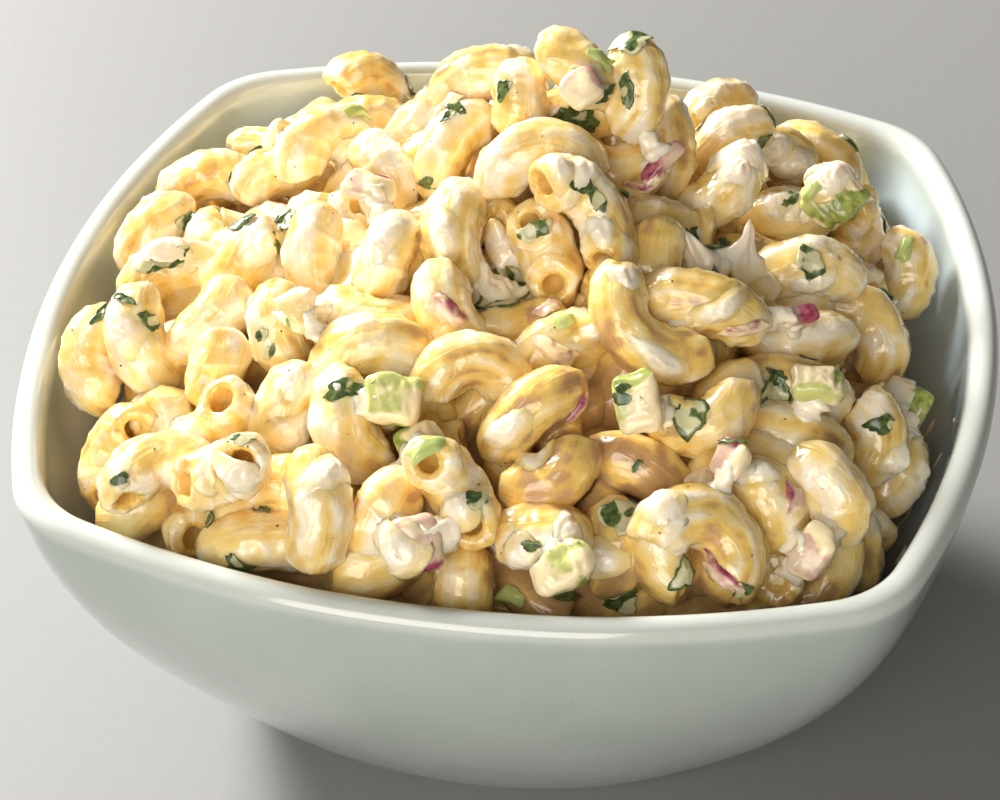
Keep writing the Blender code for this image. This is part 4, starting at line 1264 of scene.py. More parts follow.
@dataclass(frozen=True)
class GlazeFinish:
    """Pale grey-green glaze with faint clouds and pits, lighter on the lip for thin glaze and a painted
    highlight, bluer inside.
    """

    dark: Colour = (0.42, 0.475, 0.45)
    light: Colour = (0.47, 0.525, 0.50)
    # thin: the lip's lighter colour, for glaze that thins there and a painted highlight along the rim.
    thin: Colour = (0.62, 0.65, 0.61)
    # inside: a bluer colour painted on the inner walls to offset the warm light reflected onto them from the
    # salad.
    inside: Colour = (0.55, 0.68, 0.80)
    pit: Colour = (0.30, 0.33, 0.29)
    rim_zone: tuple[float, float] = (0.0632, 0.0663)

    def make(self) -> bpy.types.Material:
        """The glaze's material."""
        bench = Bench("glaze")
        cloud = bench.noise(28.0, 4.0, 0.55)
        height = bench.add("ShaderNodeSeparateXYZ", {0: bench.place}).outputs["Z"]
        uneven = bench.plus(height, bench.noise(9.0), 0.0016)
        rim = bench.spread(uneven, *self.rim_zone)
        body = bench.blend(bench.spread(cloud, 0.3, 0.7), self.dark, self.light)
        pits = bench.spread(bench.noise(1.1, 1.0), 0.76, 0.82)
        colour = bench.blend(bench.maths("MULTIPLY", pits, 0.5), body, self.pit)
        # Painted light: the inner walls are tinted bluer to offset the salad's warm light on them.
        colour = bench.blend(bench.maths("MULTIPLY", bench.mark("inside"), 0.85), colour, self.inside)
        # The lip is lighter: thinner glaze, and a painted highlight along the rim.
        colour = bench.blend(rim, colour, self.thin)
        sag = bench.noise(7.0, 2.0)
        bench.relief(bench.maths("SUBTRACT", sag, bench.maths("MULTIPLY", pits, 0.25)), 0.10, 0.6)
        return bench.finish(
            base_color=colour, roughness=bench.spread(sag, 0.2, 0.8, 0.10, 0.17), coat_weight=0.4,
            coat_roughness=0.05, subsurface_weight=0.0)


@dataclass(frozen=True)
class PastaFinish:
    """Cooked pasta, yellow through an uneven cream dressing drawn out into fine ridges, brown with painted
    shade below a coat of 0.
    """

    # deep and low: painted shade, the browns that a coat below 0 turns into deep in the heap.
    deep: Colour = (0.45, 0.26, 0.10)
    low: Colour = (0.63, 0.37, 0.15)
    bare: Colour = (0.85, 0.56, 0.14)
    thin: Colour = (0.89, 0.64, 0.22)
    thick: Colour = (0.92, 0.705, 0.33)
    full: Colour = (0.95, 0.79, 0.50)
    clotted: Colour = (0.97, 0.88, 0.71)

    def make(self) -> bpy.types.Material:
        """The dressed pasta's material."""
        bench = Bench(PASTA)
        coat = bench.mark("coat")
        fine = bench.noise(1.6, 2.0, 0.6)
        drawn = bench.noise(3.2, 2.0, 0.55, grain=True)
        ridge = bench.spread(bench.maths("ABSOLUTE", bench.centred(drawn)), 0.0, 0.055, 1.0, 0.0)
        share = bench.plus(coat, bench.centred(fine), 0.4)
        drag = bench.spread(coat, -0.3, 0.3, 0.15, 0.55)
        share = bench.plus(share, bench.centred(drawn), drag)
        share = bench.plus(share, ridge, bench.maths("MULTIPLY", drag, 0.22))
        curd = bench.maths("MULTIPLY", bench.noise(0.95, 2.0, 0.7), bench.spread(coat, 0.4, 0.95))
        share = bench.plus(share, curd, 0.16)
        # The stops below bare, deep and low, are painted shade.
        stops = ((0.0, self.deep), (0.22, self.low), (0.37, self.bare), (0.50, self.thin), (0.67, self.thick),
                 (0.84, self.full), (1.0, self.clotted))
        colour = bench.ramp(bench.scale(share, -0.45, 1.2), stops)
        grain = fine
        for value, weight in ((bench.noise(0.55, 1.0), 0.2), (ridge, 0.35),
                              (bench.noise(1.1, 1.0, grain=True), 0.6), (curd, 1.1)):
            grain = bench.plus(grain, value, weight)
        bench.relief(grain, 0.36, 0.42)
        bench.shader.subsurface_method = "BURLEY"
        return bench.finish(
            base_color=colour, roughness=bench.spread(fine, 0.3, 0.7, 0.13, 0.27), subsurface_weight=0.5,
            subsurface_radius=(1.0, 0.5, 0.18), subsurface_scale=0.0030, coat_weight=0.55,
            coat_roughness=0.07)


@dataclass(frozen=True)
class CutFinish:
    """Flesh of a cut vegetable with its coloured skin, partly under dressing."""

    name: str
    flesh: Colour
    skin: Colour
    deep_skin: Colour
    dressing: Colour = (0.94, 0.78, 0.48)

    def make(self) -> bpy.types.Material:
        """The cut vegetable's material."""
        bench = Bench(self.name)
        fibre = bench.noise(1.2, 3.0)
        skin = bench.blend(bench.spread(fibre, 0.35, 0.65), self.skin, self.deep_skin)
        tinge = bench.spread(bench.noise(2.6, 2.0), 0.35, 0.7, 0.0, 0.4)
        colour = bench.blend(bench.maths("MAXIMUM", bench.mark("skin"), tinge), self.flesh, skin)
        ragged = bench.maths("ADD", bench.mark("coat"), bench.centred(bench.noise(1.5, 3.0)))
        ragged = bench.plus(ragged, bench.centred(bench.noise(4.0, 1.0)), 0.8)
        colour = bench.blend(bench.spread(ragged, 0.1, 0.6), colour, self.dressing)
        bench.relief(bench.noise(0.8, 3.0), 0.3, 0.35)
        bench.shader.subsurface_method = "BURLEY"
        return bench.finish(
            base_color=colour, roughness=0.26, subsurface_weight=0.4, subsurface_radius=(0.7, 0.8, 0.4),
            subsurface_scale=0.0025, coat_weight=0.3, coat_roughness=0.1)


@dataclass(frozen=True)
class LeafFinish:
    """Chopped parsley: dark green at its edges, veiled by dressing in its middle."""

    dark: Colour = (0.038, 0.065, 0.018)
    green: Colour = (0.12, 0.175, 0.045)
    veiled: Colour = (0.60, 0.57, 0.33)

    def make(self) -> bpy.types.Material:
        """The leaf's material."""
        bench = Bench("parsley")
        vein = bench.noise(0.9, 3.0)
        colour = bench.blend(bench.spread(vein, 0.35, 0.65), self.dark, self.green)
        ragged = bench.maths("ADD", bench.mark("coat"), bench.centred(bench.noise(1.3, 3.0)))
        colour = bench.blend(bench.spread(ragged, 0.3, 0.75), colour, self.veiled)
        bench.relief(vein, 0.4, 0.25)
        return bench.finish(base_color=colour, roughness=0.34, coat_weight=0.3, coat_roughness=0.1)


@dataclass(frozen=True)
class PepperFinish:
    """Ground black pepper."""

    dark: Colour = (0.05, 0.035, 0.022)
    brown: Colour = (0.20, 0.12, 0.06)

    def make(self) -> bpy.types.Material:
        """The pepper's material."""
        bench = Bench("pepper")
        colour = bench.blend(bench.noise(0.3), self.dark, self.brown)
        bench.relief(bench.noise(0.15), 0.5, 0.05)
        return bench.finish(base_color=colour, roughness=0.5)


@dataclass
class Bowl:
    """The stoneware bowl, finer than its solid."""

    form: BowlForm
    turns: int = 288
    wall_rows: int = 56
    lip_rows: int = 18
    floor_rows: int = 9
    floor_end: float = 0.97
    inner_power: float = 1.5
    outer_power: float = 0.85
    foot_edge: float = 1.0
    foot_ease: float = 1.2
    foot_ring: float = 6.0
    foot_recess: float = 1.5
    foot_round: tuple[tuple[float, float], ...] = ((0.5, 0.9), (0.1, 0.35))
    recess_round: tuple[tuple[float, float], ...] = ((0.4, 0.2), (1.5, 1.5))
    base_edge: float = 8.0
    corner_crowding: float = 0.11
    uneven_heights: tuple[float, float] = (3.0, 15.0)
    uneven_radii: tuple[float, float] = (0.0, 20.0)
    hand: Waves = Waves(46.0, 51)
    hand_rise: float = 0.1
    hand_least: float = 1.2
    hand_share: float = 0.6

    def profile(self) -> Array:
        """Half widths and heights from the inner floor's middle, over the lip, to the foot's middle."""
        form = self.form
        side = form.height - form.lip
        even = np.linspace(0, 1, self.wall_rows)
        inner = form.floor + (side - form.floor) * even ** self.inner_power
        outer = side * (1 - even[1:] ** self.outer_power)
        outer = outer[outer > self.foot_ease]
        turn = np.linspace(math.pi, 0, self.lip_rows)[1:]
        foot = form.foot_half - self.foot_edge
        recess = foot - self.foot_ring
        floor = np.linspace(0, self.floor_end, self.floor_rows)
        rows = [(share * form.inner_half(form.floor), form.floor) for share in floor]
        rows += list(zip(form.inner_half(inner), inner))
        rows += list(zip(form.rim_half + form.lip * np.cos(turn), side + form.lip * np.sin(turn)))
        rows += list(zip(form.outer_half(outer), outer))
        rows += [(form.foot_half + past, height) for past, height in self.foot_round]
        rows += [(foot, 0.0), (recess, 0.0)]
        rows += [(recess - past, height) for past, height in self.recess_round]
        rows += [(share * (foot - self.base_edge), self.foot_recess) for share in np.linspace(0.9, 0, 8)]
        return np.array(rows, dtype=float)

    def build(self) -> None:
        """The profile turned round, squared off by its plan, and a little uneven as if made by hand."""
        profile = self.profile()
        angle = ring(self.turns)
        angle = angle + self.corner_crowding * np.sin(4 * angle)
        height = np.repeat(profile[:, 1:], self.turns, axis=1)
        radius = profile[:, :1] * self.form.plan(angle, height)
        points = polar(radius, angle, height)
        level = smooth_step(*self.uneven_heights, height) * smooth_step(*self.uneven_radii, radius)
        wave = level * self.hand_rise * (self.hand_least + self.hand_share * self.hand.at(points))
        points[..., :2] *= 1 - (wave / self.form.rim_half)[..., None]
        row = np.arange(len(profile))[:, None] * np.ones(self.turns)
        # The inside mark says where the glaze takes its bluer tint against the salad's warm light.
        inside = {"inside": (1 - smooth_step(self.wall_rows, self.wall_rows + self.floor_rows, row))[None]}
        add_piece("stoneware_bowl", "bowl", points[None], inside, GlazeFinish().make(), "bowl")


@dataclass(frozen=True)
class SleeveMesh:
    """How finely a sleeve is made: points round it, rows along it, and the step between its ends' rows."""

    turns: int
    rows: int
    every: int = 1


@dataclass
class Macaroni:
    """Dressed elbows as closed sleeves with open bores or filled ends."""

    dressing: Dressing
    end_taper: float = 0.9
    bore: float = 1.75
    shoulder: float = 2.0
    rim: float = 0.95
    open_bores: tuple[float, float] = (0.85, 1.15)
    open_depth: float = 5.2
    filled_bores: tuple[float, float] = (0.6, 1.0)
    filled_depths: tuple[float, float] = (0.1, 1.3)
    lip_most: float = 0.6
    face_steps: tuple[float, float] = (0.4, 0.8)
    face_rise: tuple[float, float] = (0.04, 0.05)
    narrowing: float = 0.25
    relief_rows: tuple[int, ...] = (0, 8, 11, 15, 17)
    relief_shares: tuple[float, ...] = (1, 1, 0.8, 0.5, 0)
    bore_row: int = 11
    bore_coat: float = 0.2
    # least_coat lets painted shade take the coat below 0.
    least_coat: float = -0.4
    squash: float = 0.05
    grain_shift: float = 50.0
    seed: int = 900
    joint_reach: float = 3.0
    joint_share: float = 0.1
    joint_range: tuple[float, float] = (0.2, 0.8)
    fill_most: float = 1.3
    streaks: Waves = Waves(2.6, 71)
    bulges: Waves = Waves(6.5, 72)
    windows: Waves = Waves(3.4, 73)
    streak_rise: float = 0.05
    bulge_rise: float = 0.08
    window_share: float = 0.2
    streak_stretch: float = 0.3

    def ending(self, tube: float, ending: Ending, draw: np.random.Generator) -> tuple[Array, Array, Array]:
        """Section of one end.

        Args:
            tube: the elbow's radius.
            ending: how it ends.
            draw: the seeded source of chance, for how far dressing fills the bore.

        Returns:
            Place past the end's plane, radius and share of the dressing's relief, row by row to the middle.
        """
        ease = np.linspace(0, 1, 5)[1:]
        narrow = self.end_taper * tube
        shoulder = -self.rim - self.shoulder * (1 - ease)
        radii = tube + (narrow - tube) * ease ** 2
        turn = np.linspace(0, math.pi / 2, 6)[1:]
        edge = -self.rim + self.rim * np.sin(turn)
        edge_radii = narrow - self.rim * (1 - np.cos(turn))
        if ending is Ending.OPEN:
            bore, deep = self.bore * draw.uniform(*self.open_bores), self.open_depth
        else:
            bore, deep = self.bore * draw.uniform(*self.filled_bores), draw.uniform(*self.filled_depths)
        lip = min(self.lip_most, deep / 2)
        face = narrow - self.rim
        face_radii = face + (bore + lip - face) * np.array(self.face_steps)
        turn = np.linspace(0, math.pi / 2, 5)
        lip_place, lip_radii = -lip * (1 - np.cos(turn)), bore + lip * (1 - np.sin(turn))
        down = np.linspace(0, 1, 6)[1:-1]
        inside, inside_radii = -lip - (deep - lip) * down, bore * (1 - self.narrowing * down ** 2)
        bottom, bottom_radii = [-deep * 0.97, -deep, -deep], [bore * 0.6, bore * 0.3, 0]
        place = np.concatenate([shoulder, edge, self.face_rise, lip_place, inside, bottom])
        radius = np.concatenate([radii, edge_radii, face_radii, lip_radii, inside_radii, bottom_radii])
        share = np.interp(np.arange(len(place)), self.relief_rows, self.relief_shares)
        return place, radius, share

    def sleeve(self, elbow: Elbow, mesh: SleeveMesh, number: int) -> tuple[Array, Array, Array, Array, Array]:
        """The bare sleeve of an elbow: its section carried round the bend's circle.

        Args:
            elbow: the elbow.
            mesh: how finely it is made.
            number: the elbow's number, which seeds its own unevenness.

        Returns:
            Points, outward unit vectors, relief shares, bore marks and grain, by row and turn.
        """
        draw = np.random.default_rng(self.seed + number)
        tube = elbow.tube - self.dressing.slim
        first, last = (
            [column[mesh.every - 1::mesh.every] for column in self.ending(tube, elbow.ending, draw)]
            for _ in range(2)
        )
        reach = elbow.bend * elbow.arc / 2
        limit = self.shoulder + self.rim
        straight = np.linspace(limit - reach, reach - limit, mesh.rows)
        along = np.concatenate([-(reach + first[0][::-1]), straight, reach + last[0]])
        radii = np.concatenate([first[1][::-1], np.full(mesh.rows, tube), last[1]])
        shares = np.concatenate([first[2][::-1], np.ones(mesh.rows), last[2]])
        count = len(first[0])
        depth = np.arange(count) * mesh.every >= self.bore_row
        inner = np.concatenate([depth[::-1], np.zeros(mesh.rows, bool), depth])
        slope_along, slope_radius = np.gradient(along), np.gradient(radii)
        size = np.hypot(slope_along, slope_radius) + TINY
        normal_along, normal_out = -slope_radius / size, slope_along / size
        turn = ring(mesh.turns)
        bend = (along / elbow.bend)[:, None, None]
        outward = np.cos(bend) * elbow.apex + np.sin(bend) * elbow.along
        forward = np.cos(bend) * elbow.along - np.sin(bend) * elbow.apex
        side = np.cross(elbow.apex, elbow.along)
        squash = 1 + draw.uniform(-self.squash, self.squash) * np.cos(2 * turn + draw.uniform(0, TURN))
        ray = np.cos(turn)[None, :, None] * outward + np.sin(turn)[None, :, None] * side
        local = np.stack([
            np.broadcast_to(along[:, None] * self.streak_stretch, (len(along), mesh.turns)),
            elbow.tube * np.cos(turn) * np.ones_like(along)[:, None],
            elbow.tube * np.sin(turn) * np.ones_like(along)[:, None],
        ], axis=-1) + draw.uniform(-self.grain_shift, self.grain_shift, 3)
        uneven = self.streak_rise * self.streaks.at(local) + self.bulge_rise * self.bulges.at(local)
        width = radii[:, None] * squash
        points = elbow.hub + elbow.bend * outward + width[..., None] * ray
        normals = normal_out[:, None, None] * ray + normal_along[:, None, None] * forward
        points = points + normals * (shares[:, None] * uneven)[..., None]
        ones = np.ones(mesh.turns)
        return points, normals, shares[:, None] * ones, inner[:, None] * ones, local

    def build(self, name: str, elbows: Sequence[Elbow], mesh: SleeveMesh, field: HeapField,
              first: int) -> None:
        """One piece of many elbows.

        The skin stands off the bare sleeve by the dressing's relief, and by ln(1 + crowd) / blend, which
        rounds off every joint with a neighbour.

        Args:
            name: the piece's name.
            elbows: its elbows.
            mesh: how finely they are made.
            field: all elbows, vegetables and the bed.
            first: number of the first of these elbows in the field.
        """
        grids, coats, grains = [], [], []
        heap = field.bed.heap
        for number, elbow in enumerate(elbows, first):
            points, normals, share, inner, grain = self.sleeve(elbow, mesh, number)
            # Depth below the outline sets how far the coat is lowered into painted shade.
            depth = heap.top(points[..., 0], points[..., 1]) - points[..., 2]
            coat = self.dressing.coat(points, depth)
            rise = share * self.dressing.relief(points, coat)
            flat = (points + normals * rise[..., None]).reshape(-1, 3)
            which = field.near(flat, self.joint_reach)
            crowd = field.crowd(flat, which[which != number]).reshape(share.shape)
            joint = np.minimum(np.log1p(crowd) / field.blend, self.fill_most)
            rise = rise + share * joint
            grids.append(points + normals * rise[..., None])
            coat = coat + self.joint_share * smooth_step(*self.joint_range, joint)
            coat = coat - self.window_share * self.windows.at(grain)
            coats.append(np.where(inner > 0, self.bore_coat, np.clip(coat, self.least_coat, 1)))
            grains.append(grain)
        marks = {"coat": np.stack(coats), "grain": np.stack(grains)}
        add_piece(name, "salad", np.stack(grids), marks, bpy.data.materials[PASTA], "salad")


@dataclass
class Salad:
    """The bed of dressing with all elbows on it."""

    laid: LaidHeap
    field: HeapField
    dressing: Dressing
    bed: Bed
    front: SleeveMesh = SleeveMesh(38, 30)
    middle: SleeveMesh = SleeveMesh(30, 20)
    low: SleeveMesh = SleeveMesh(22, 14)
    back: SleeveMesh = SleeveMesh(14, 8, 2)
    bed_parts: int = 6
    bed_reach: float = 3.5
    bed_most: float = 1.2

    def build_bed(self) -> None:
        """The bed, drawn up by ln(1 + crowd) / blend where elbows and vegetables stand in it."""
        points = self.bed.grid()
        rings = self.bed.rows
        crowd = np.zeros(points.shape[:2])
        for row in range(rings):
            flat = points[row]
            for part in np.array_split(np.arange(len(flat)), self.bed_parts):
                which = self.field.near(flat[part], self.bed_reach)
                crowd[row, part] = self.field.crowd(flat[part], which, with_bed=False)
        # The bed lies deep throughout, so its coat takes the full painted shade and it is coloured in those
        # browns.
        coat = self.dressing.coat(points, self.dressing.shade_full_depth)
        relief = self.dressing.relief(points, coat)
        joint = np.minimum(np.log1p(crowd) / self.field.blend, self.bed_most)
        points[:rings - 1, :, 2] += (relief + joint)[:rings - 1]
        marks = {"coat": coat[None], "grain": points[None]}
        add_piece("dressing_bed", "salad", points[None], marks, bpy.data.materials[PASTA], "salad")

    def build(self) -> None:
        """The bed and the elbows, in pieces that each stay small enough."""
        PastaFinish().make()
        self.build_bed()
        macaroni = Macaroni(self.dressing)
        first = 0
        third = -(-len(self.laid.shown) // 3)
        groups = (
            ("macaroni_top", self.laid.shown[:third], self.front),
            ("macaroni_right", self.laid.shown[third:2 * third], self.front),
            ("macaroni_left", self.laid.shown[2 * third:], self.front),
            ("macaroni_round", self.laid.surface, self.middle),
            ("macaroni_under", self.laid.under, self.low),
            ("macaroni_deep", self.laid.deep, self.back),
        )
        for name, elbows, mesh in groups:
            macaroni.build(name, elbows, mesh, self.field, first)
            first += len(elbows)


@dataclass
class CutVegetables:
    """Celery and onion: rounded plates with ribs, a coloured skin and patches of dressing."""

    laid: LaidHeap
    turns: int = 44
    rows: int = 30
    squareness: float = 0.5
    rib: float = 0.16
    rib_length: float = 1.5
    rim_ease: float = 0.15
    swell: float = 1.02
    unevenness: float = 0.06
    sunk: float = 0.05
    skin_wave: float = 0.15
    skin_edge: float = 0.6
    veil_range: float = 2.2
    veil_shift: float = 0.55
    veil_rise: float = 0.25
    waves: Waves = Waves(4.6, 61)
    veils: Waves = Waves(6.5, 62)

    def plate(self, cut: Cut) -> tuple[Array, Array, Array]:
        """A cut piece as a superellipsoid: powers of sines and cosines square off a ball.

        Args:
            cut: the laid piece.

        Returns:
            Points, skin marks and dressing marks, by row and turn.
        """
        rise = np.linspace(-math.pi / 2, math.pi / 2, self.rows)[:, None]
        turn = ring(self.turns)[None]
        rim = np.maximum(np.cos(rise), 0) ** (self.squareness + self.rim_ease)
        wide, high = (rim * squared(wave(turn), self.squareness) for wave in (np.cos, np.sin))
        deep = squared(np.sin(rise), self.squareness) * np.ones_like(turn)
        unit = np.stack([wide, high, deep], axis=-1)
        local = unit * np.array([cut.width, cut.height, cut.thick]) / 2
        places = cut.place(local)
        ribs = self.rib * np.cos(TURN * local[..., 0] / self.rib_length) if cut.kind is Kind.CELERY else 0
        outer = smooth_step(0.2, 0.9, unit[..., 2])
        local = local * (self.swell + self.unevenness * self.waves.at(places)[..., None])
        local[..., 2] += outer * ribs - self.sunk * cut.thick
        way = math.radians(cut.skin_turn)
        facing = unit[..., 0] * math.cos(way) + unit[..., 1] * math.sin(way)
        skin = facing + self.skin_wave * self.waves.at(places)
        skin = smooth_step(cut.skin_from, cut.skin_from + self.skin_edge, skin)
        start = 1.0 - self.veil_range * cut.veil
        end = self.veil_range - self.veil_range * cut.veil
        veil = smooth_step(start, end, self.veils.at(places) + self.veil_shift)
        local[..., 2] += self.veil_rise * veil * outer
        return cut.place(local), skin, veil

    def build(self) -> None:
        """One piece for each node, with its name."""
        finishes = {
            Kind.CELERY: CutFinish("celery", (0.66, 0.66, 0.25), (0.47, 0.51, 0.13), (0.23, 0.30, 0.055)),
            Kind.ONION: CutFinish("red onion", (0.84, 0.64, 0.45), (0.46, 0.12, 0.17), (0.28, 0.035, 0.08)),
        }
        materials = {kind: finish.make() for kind, finish in finishes.items()}
        counts = {kind: 0 for kind in Kind}
        for cut in self.laid.cuts:
            counts[cut.kind] += 1
            node = f"{cut.kind.value}_{counts[cut.kind]}"
            points, skin, veil = self.plate(cut)
            marks = {"skin": skin[None], "coat": veil[None]}
            add_piece(f"cut_{node}", cut.kind.value, points[None], marks, materials[cut.kind], node)


@dataclass
class Perches:
    """Finds places on the heap's dressed skin and lays thin things over it."""

    field: HeapField
    dressing: Dressing
    studio: "Studio"
    steps: int = 44
    caution: float = 0.8
    probe: float = 0.35
    start: float = 180.0
    drop_height: float = 130.0
    drop_area: tuple[float, float] = (0.01, 0.9)
    drape_steps: int = 4
    drape_reach: float = 1.5

    @property
    def bowl(self) -> BowlForm:
        """The bowl that the heap lies in."""
        return self.field.bed.heap.bowl

    def gap(self, points: Array, reach: float = 6.0) -> Array:
        """Distance from points to the dressed skin: the field's, less the dressing's relief."""
        flat = points.reshape(-1, 3)
        which = self.field.near(flat, reach)
        relief = self.dressing.relief(flat, self.dressing.coat(flat))
        return (self.field.height(flat, which) - relief).reshape(points.shape[:-1])

    def land(self, starts: Array, ways: Array) -> Array:
        """Places where rays meet the skin, each step as long as most of the distance left.

        Args:
            starts: where the rays start.
            ways: their unit vectors.

        Returns:
            The places, with their outward unit vectors in the second half of the columns.
        """
        everything = self.field.everything
        spots = starts.copy()
        for _ in range(self.steps):
            spots = spots + self.caution * self.field.height(spots, everything)[:, None] * ways
        tries = spots[:, None] + self.probe * SIX_WAYS
        heights = self.field.height(tries.reshape(-1, 3), everything).reshape(-1, 6)
        normals = heights[:, :3] - heights[:, 3:]
        return np.concatenate([spots, normals / lengths(normals)], axis=1)

    def seen(self, pixels: Sequence[tuple[float, float]]) -> Array:
        """Places seen at pixels of the photograph."""
        eye = np.array(self.studio.eye)
        ways = self.studio.rays(np.array(pixels, dtype=float))
        return self.land(eye + self.start * ways, ways)

    def held(self, places: Array) -> Array:
        """Which places lie on the skin and clear of the bowl's wall."""
        on_skin = np.abs(self.field.height(places[:, :3], self.field.everything)) < self.probe
        return on_skin & (self.bowl.wall_room(places[:, :3]) > 2 * self.probe)

    def dropped(self, count: int, seed: int) -> Array:
        """Places all over the heap, met from straight above."""
        draw = np.random.default_rng(seed)
        angle = draw.uniform(0, TURN, count)
        edge = self.bowl.inner_radius(angle, self.bowl.height)
        reach = np.sqrt(draw.uniform(*self.drop_area, count)) * edge
        starts = polar(reach, angle, np.full(count, self.drop_height))
        places = self.land(starts, np.tile([0.0, 0.0, -1.0], (count, 1)))
        return places[self.held(places)]

    def strew(self, shown: Sequence[tuple], chance: int, seed: int,
              front: float) -> tuple[Array, list[tuple]]:
        """Places of the things that show, then chance ones behind a line.

        Args:
            shown: rows that start with a place in the photograph.
            chance: number of chance places tried.
            seed: the source of chance.
            front: how far back the chance places start.

        Returns:
            All places, and the rest of each shown row that has one.
        """
        places = self.seen([row[:2] for row in shown])
        held = self.held(places)
        others = self.dropped(chance, seed)
        rows = [row[2:] for row, fits in zip(shown, held) if fits]
        return np.concatenate([places[held], others[others[:, 1] > front]]), rows

    def axes(self, place: Array, turn: float) -> Array:
        """Unit vectors along and across a thing on the skin, turned from the picture's right."""
        normal = place[3:]
        right, up, _ = self.studio.axes()
        way = heading(turn, right, up)
        along = way - way.dot(normal) * normal
        along /= np.linalg.norm(along)
        return np.stack([along, np.cross(normal, along), normal])

    def drape(self, place: Array, turn: float, across: Array, lift: Array) -> Array:
        """Lay a grid over the skin.

        Args:
            place: the middle and its outward vector.
            turn: its turn in the picture.
            across: where each point lies along and across the thing.
            lift: how far it stands off the skin.

        Returns:
            The grid's points, moved along the middle's outward vector until each stands off by its lift.
        """
        axes = self.axes(place, turn)
        points = place[:3] + across @ axes[:2]
        for _ in range(self.drape_steps):
            move = np.clip(lift - self.gap(points), -self.drape_reach, self.drape_reach)
            points = points + self.caution * move[..., None] * axes[2]
        return points


@dataclass
class Strewn:
    """Small things on the heap: those that show, and chance ones further back."""

    perches: Perches

    def chance_row(self, draw: np.random.Generator) -> tuple:
        """Sizes and looks of a chance thing."""
        raise NotImplementedError

    def rows_for(self, shown: Sequence[tuple], draw: np.random.Generator) -> list[tuple[Array, tuple]]:
        """A place and a row of sizes for each thing.

        Args:
            shown: rows that start with a place in the photograph.
            draw: the seeded source of chance.

        Returns:
            The places with the shown rows, then with chance ones.
        """
        places, rows = self.perches.strew(shown, self.chance, self.seed, self.front)
        rows += [self.chance_row(draw) for _ in range(len(places) - len(rows))]
        return list(zip(places, rows))


@dataclass
class Leaves(Strewn):
    """Chopped parsley: thin lobed leaves with lifted edges, laid over the skin."""

    turns: int = 24
    reaches: tuple[float, ...] = (0, 0.3, 0.55, 0.75, 0.9, 1.0, 1.0, 0.8, 0.45, 0)
    sides: tuple[float, ...] = (1, 1, 1, 1, 1, 0.6, -0.6, -1, -1, -1)
    half_thick: float = 0.13
    proud: float = 0.12
    patches: Waves = Waves(4.0, 82)
    patch_edges: tuple[float, float] = (-0.5, 0.6)
    veil_scale: float = 2.4
    veil_middle: float = 0.55
    bare_edge_from: float = 0.7
    bare_edge: tuple[float, float] = (0.66, 0.98)
    sizes: tuple[float, float] = (2.5, 6.5)
    slimness: tuple[float, float] = (0.4, 0.8)
    lobes: tuple[int, int] = (2, 5)
    shares: tuple[float, float] = (0.1, 0.65)
    lift: float = 0.3
    chance: int = 60
    front: float = -10.0
    seed: int = 81

    def chance_row(self, draw: np.random.Generator) -> tuple:
        """Length, width, turn, lobes, share under dressing and lift of a chance leaf."""
        length = draw.uniform(*self.sizes)
        return (length, length * draw.uniform(*self.slimness), draw.uniform(0, 360),
                draw.integers(*self.lobes), draw.uniform(*self.shares), self.lift)

    def build(self) -> None:
        """The leaves that show and chance ones elsewhere."""
        draw = np.random.default_rng(self.seed)
        turn = ring(self.turns)
        reach, side = np.array(self.reaches)[:, None], np.array(self.sides)[:, None]
        grids, veils = [], []
        for place, (length, width, way, lobes, veil, lift) in self.rows_for(SHOWN_LEAVES, draw):
            outline, start = lobed(turn, draw, (lobes, 0.2), (2 * lobes + 1, 0.1), (9, 0.05))
            across = oval(length / 2, width / 2, reach, outline, turn)
            curl = lift * reach ** 3 * (0.5 + 0.5 * np.cos(2 * turn + start[1]))
            stand = self.proud + curl + side * self.half_thick
            grids.append(self.perches.drape(place, way, across, stand))
            patch = self.patches.at(grids[-1]) + self.veil_scale * (veil - self.veil_middle)
            edge = (veil > self.bare_edge_from) * smooth_step(*self.bare_edge, reach)
            veils.append(smooth_step(*self.patch_edges, patch) * (1 - edge) * (side > 0))
        marks = {"coat": np.clip(np.stack(veils), 0, 1)}
        add_piece("parsley", "salad", np.stack(grids), marks, LeafFinish().make())


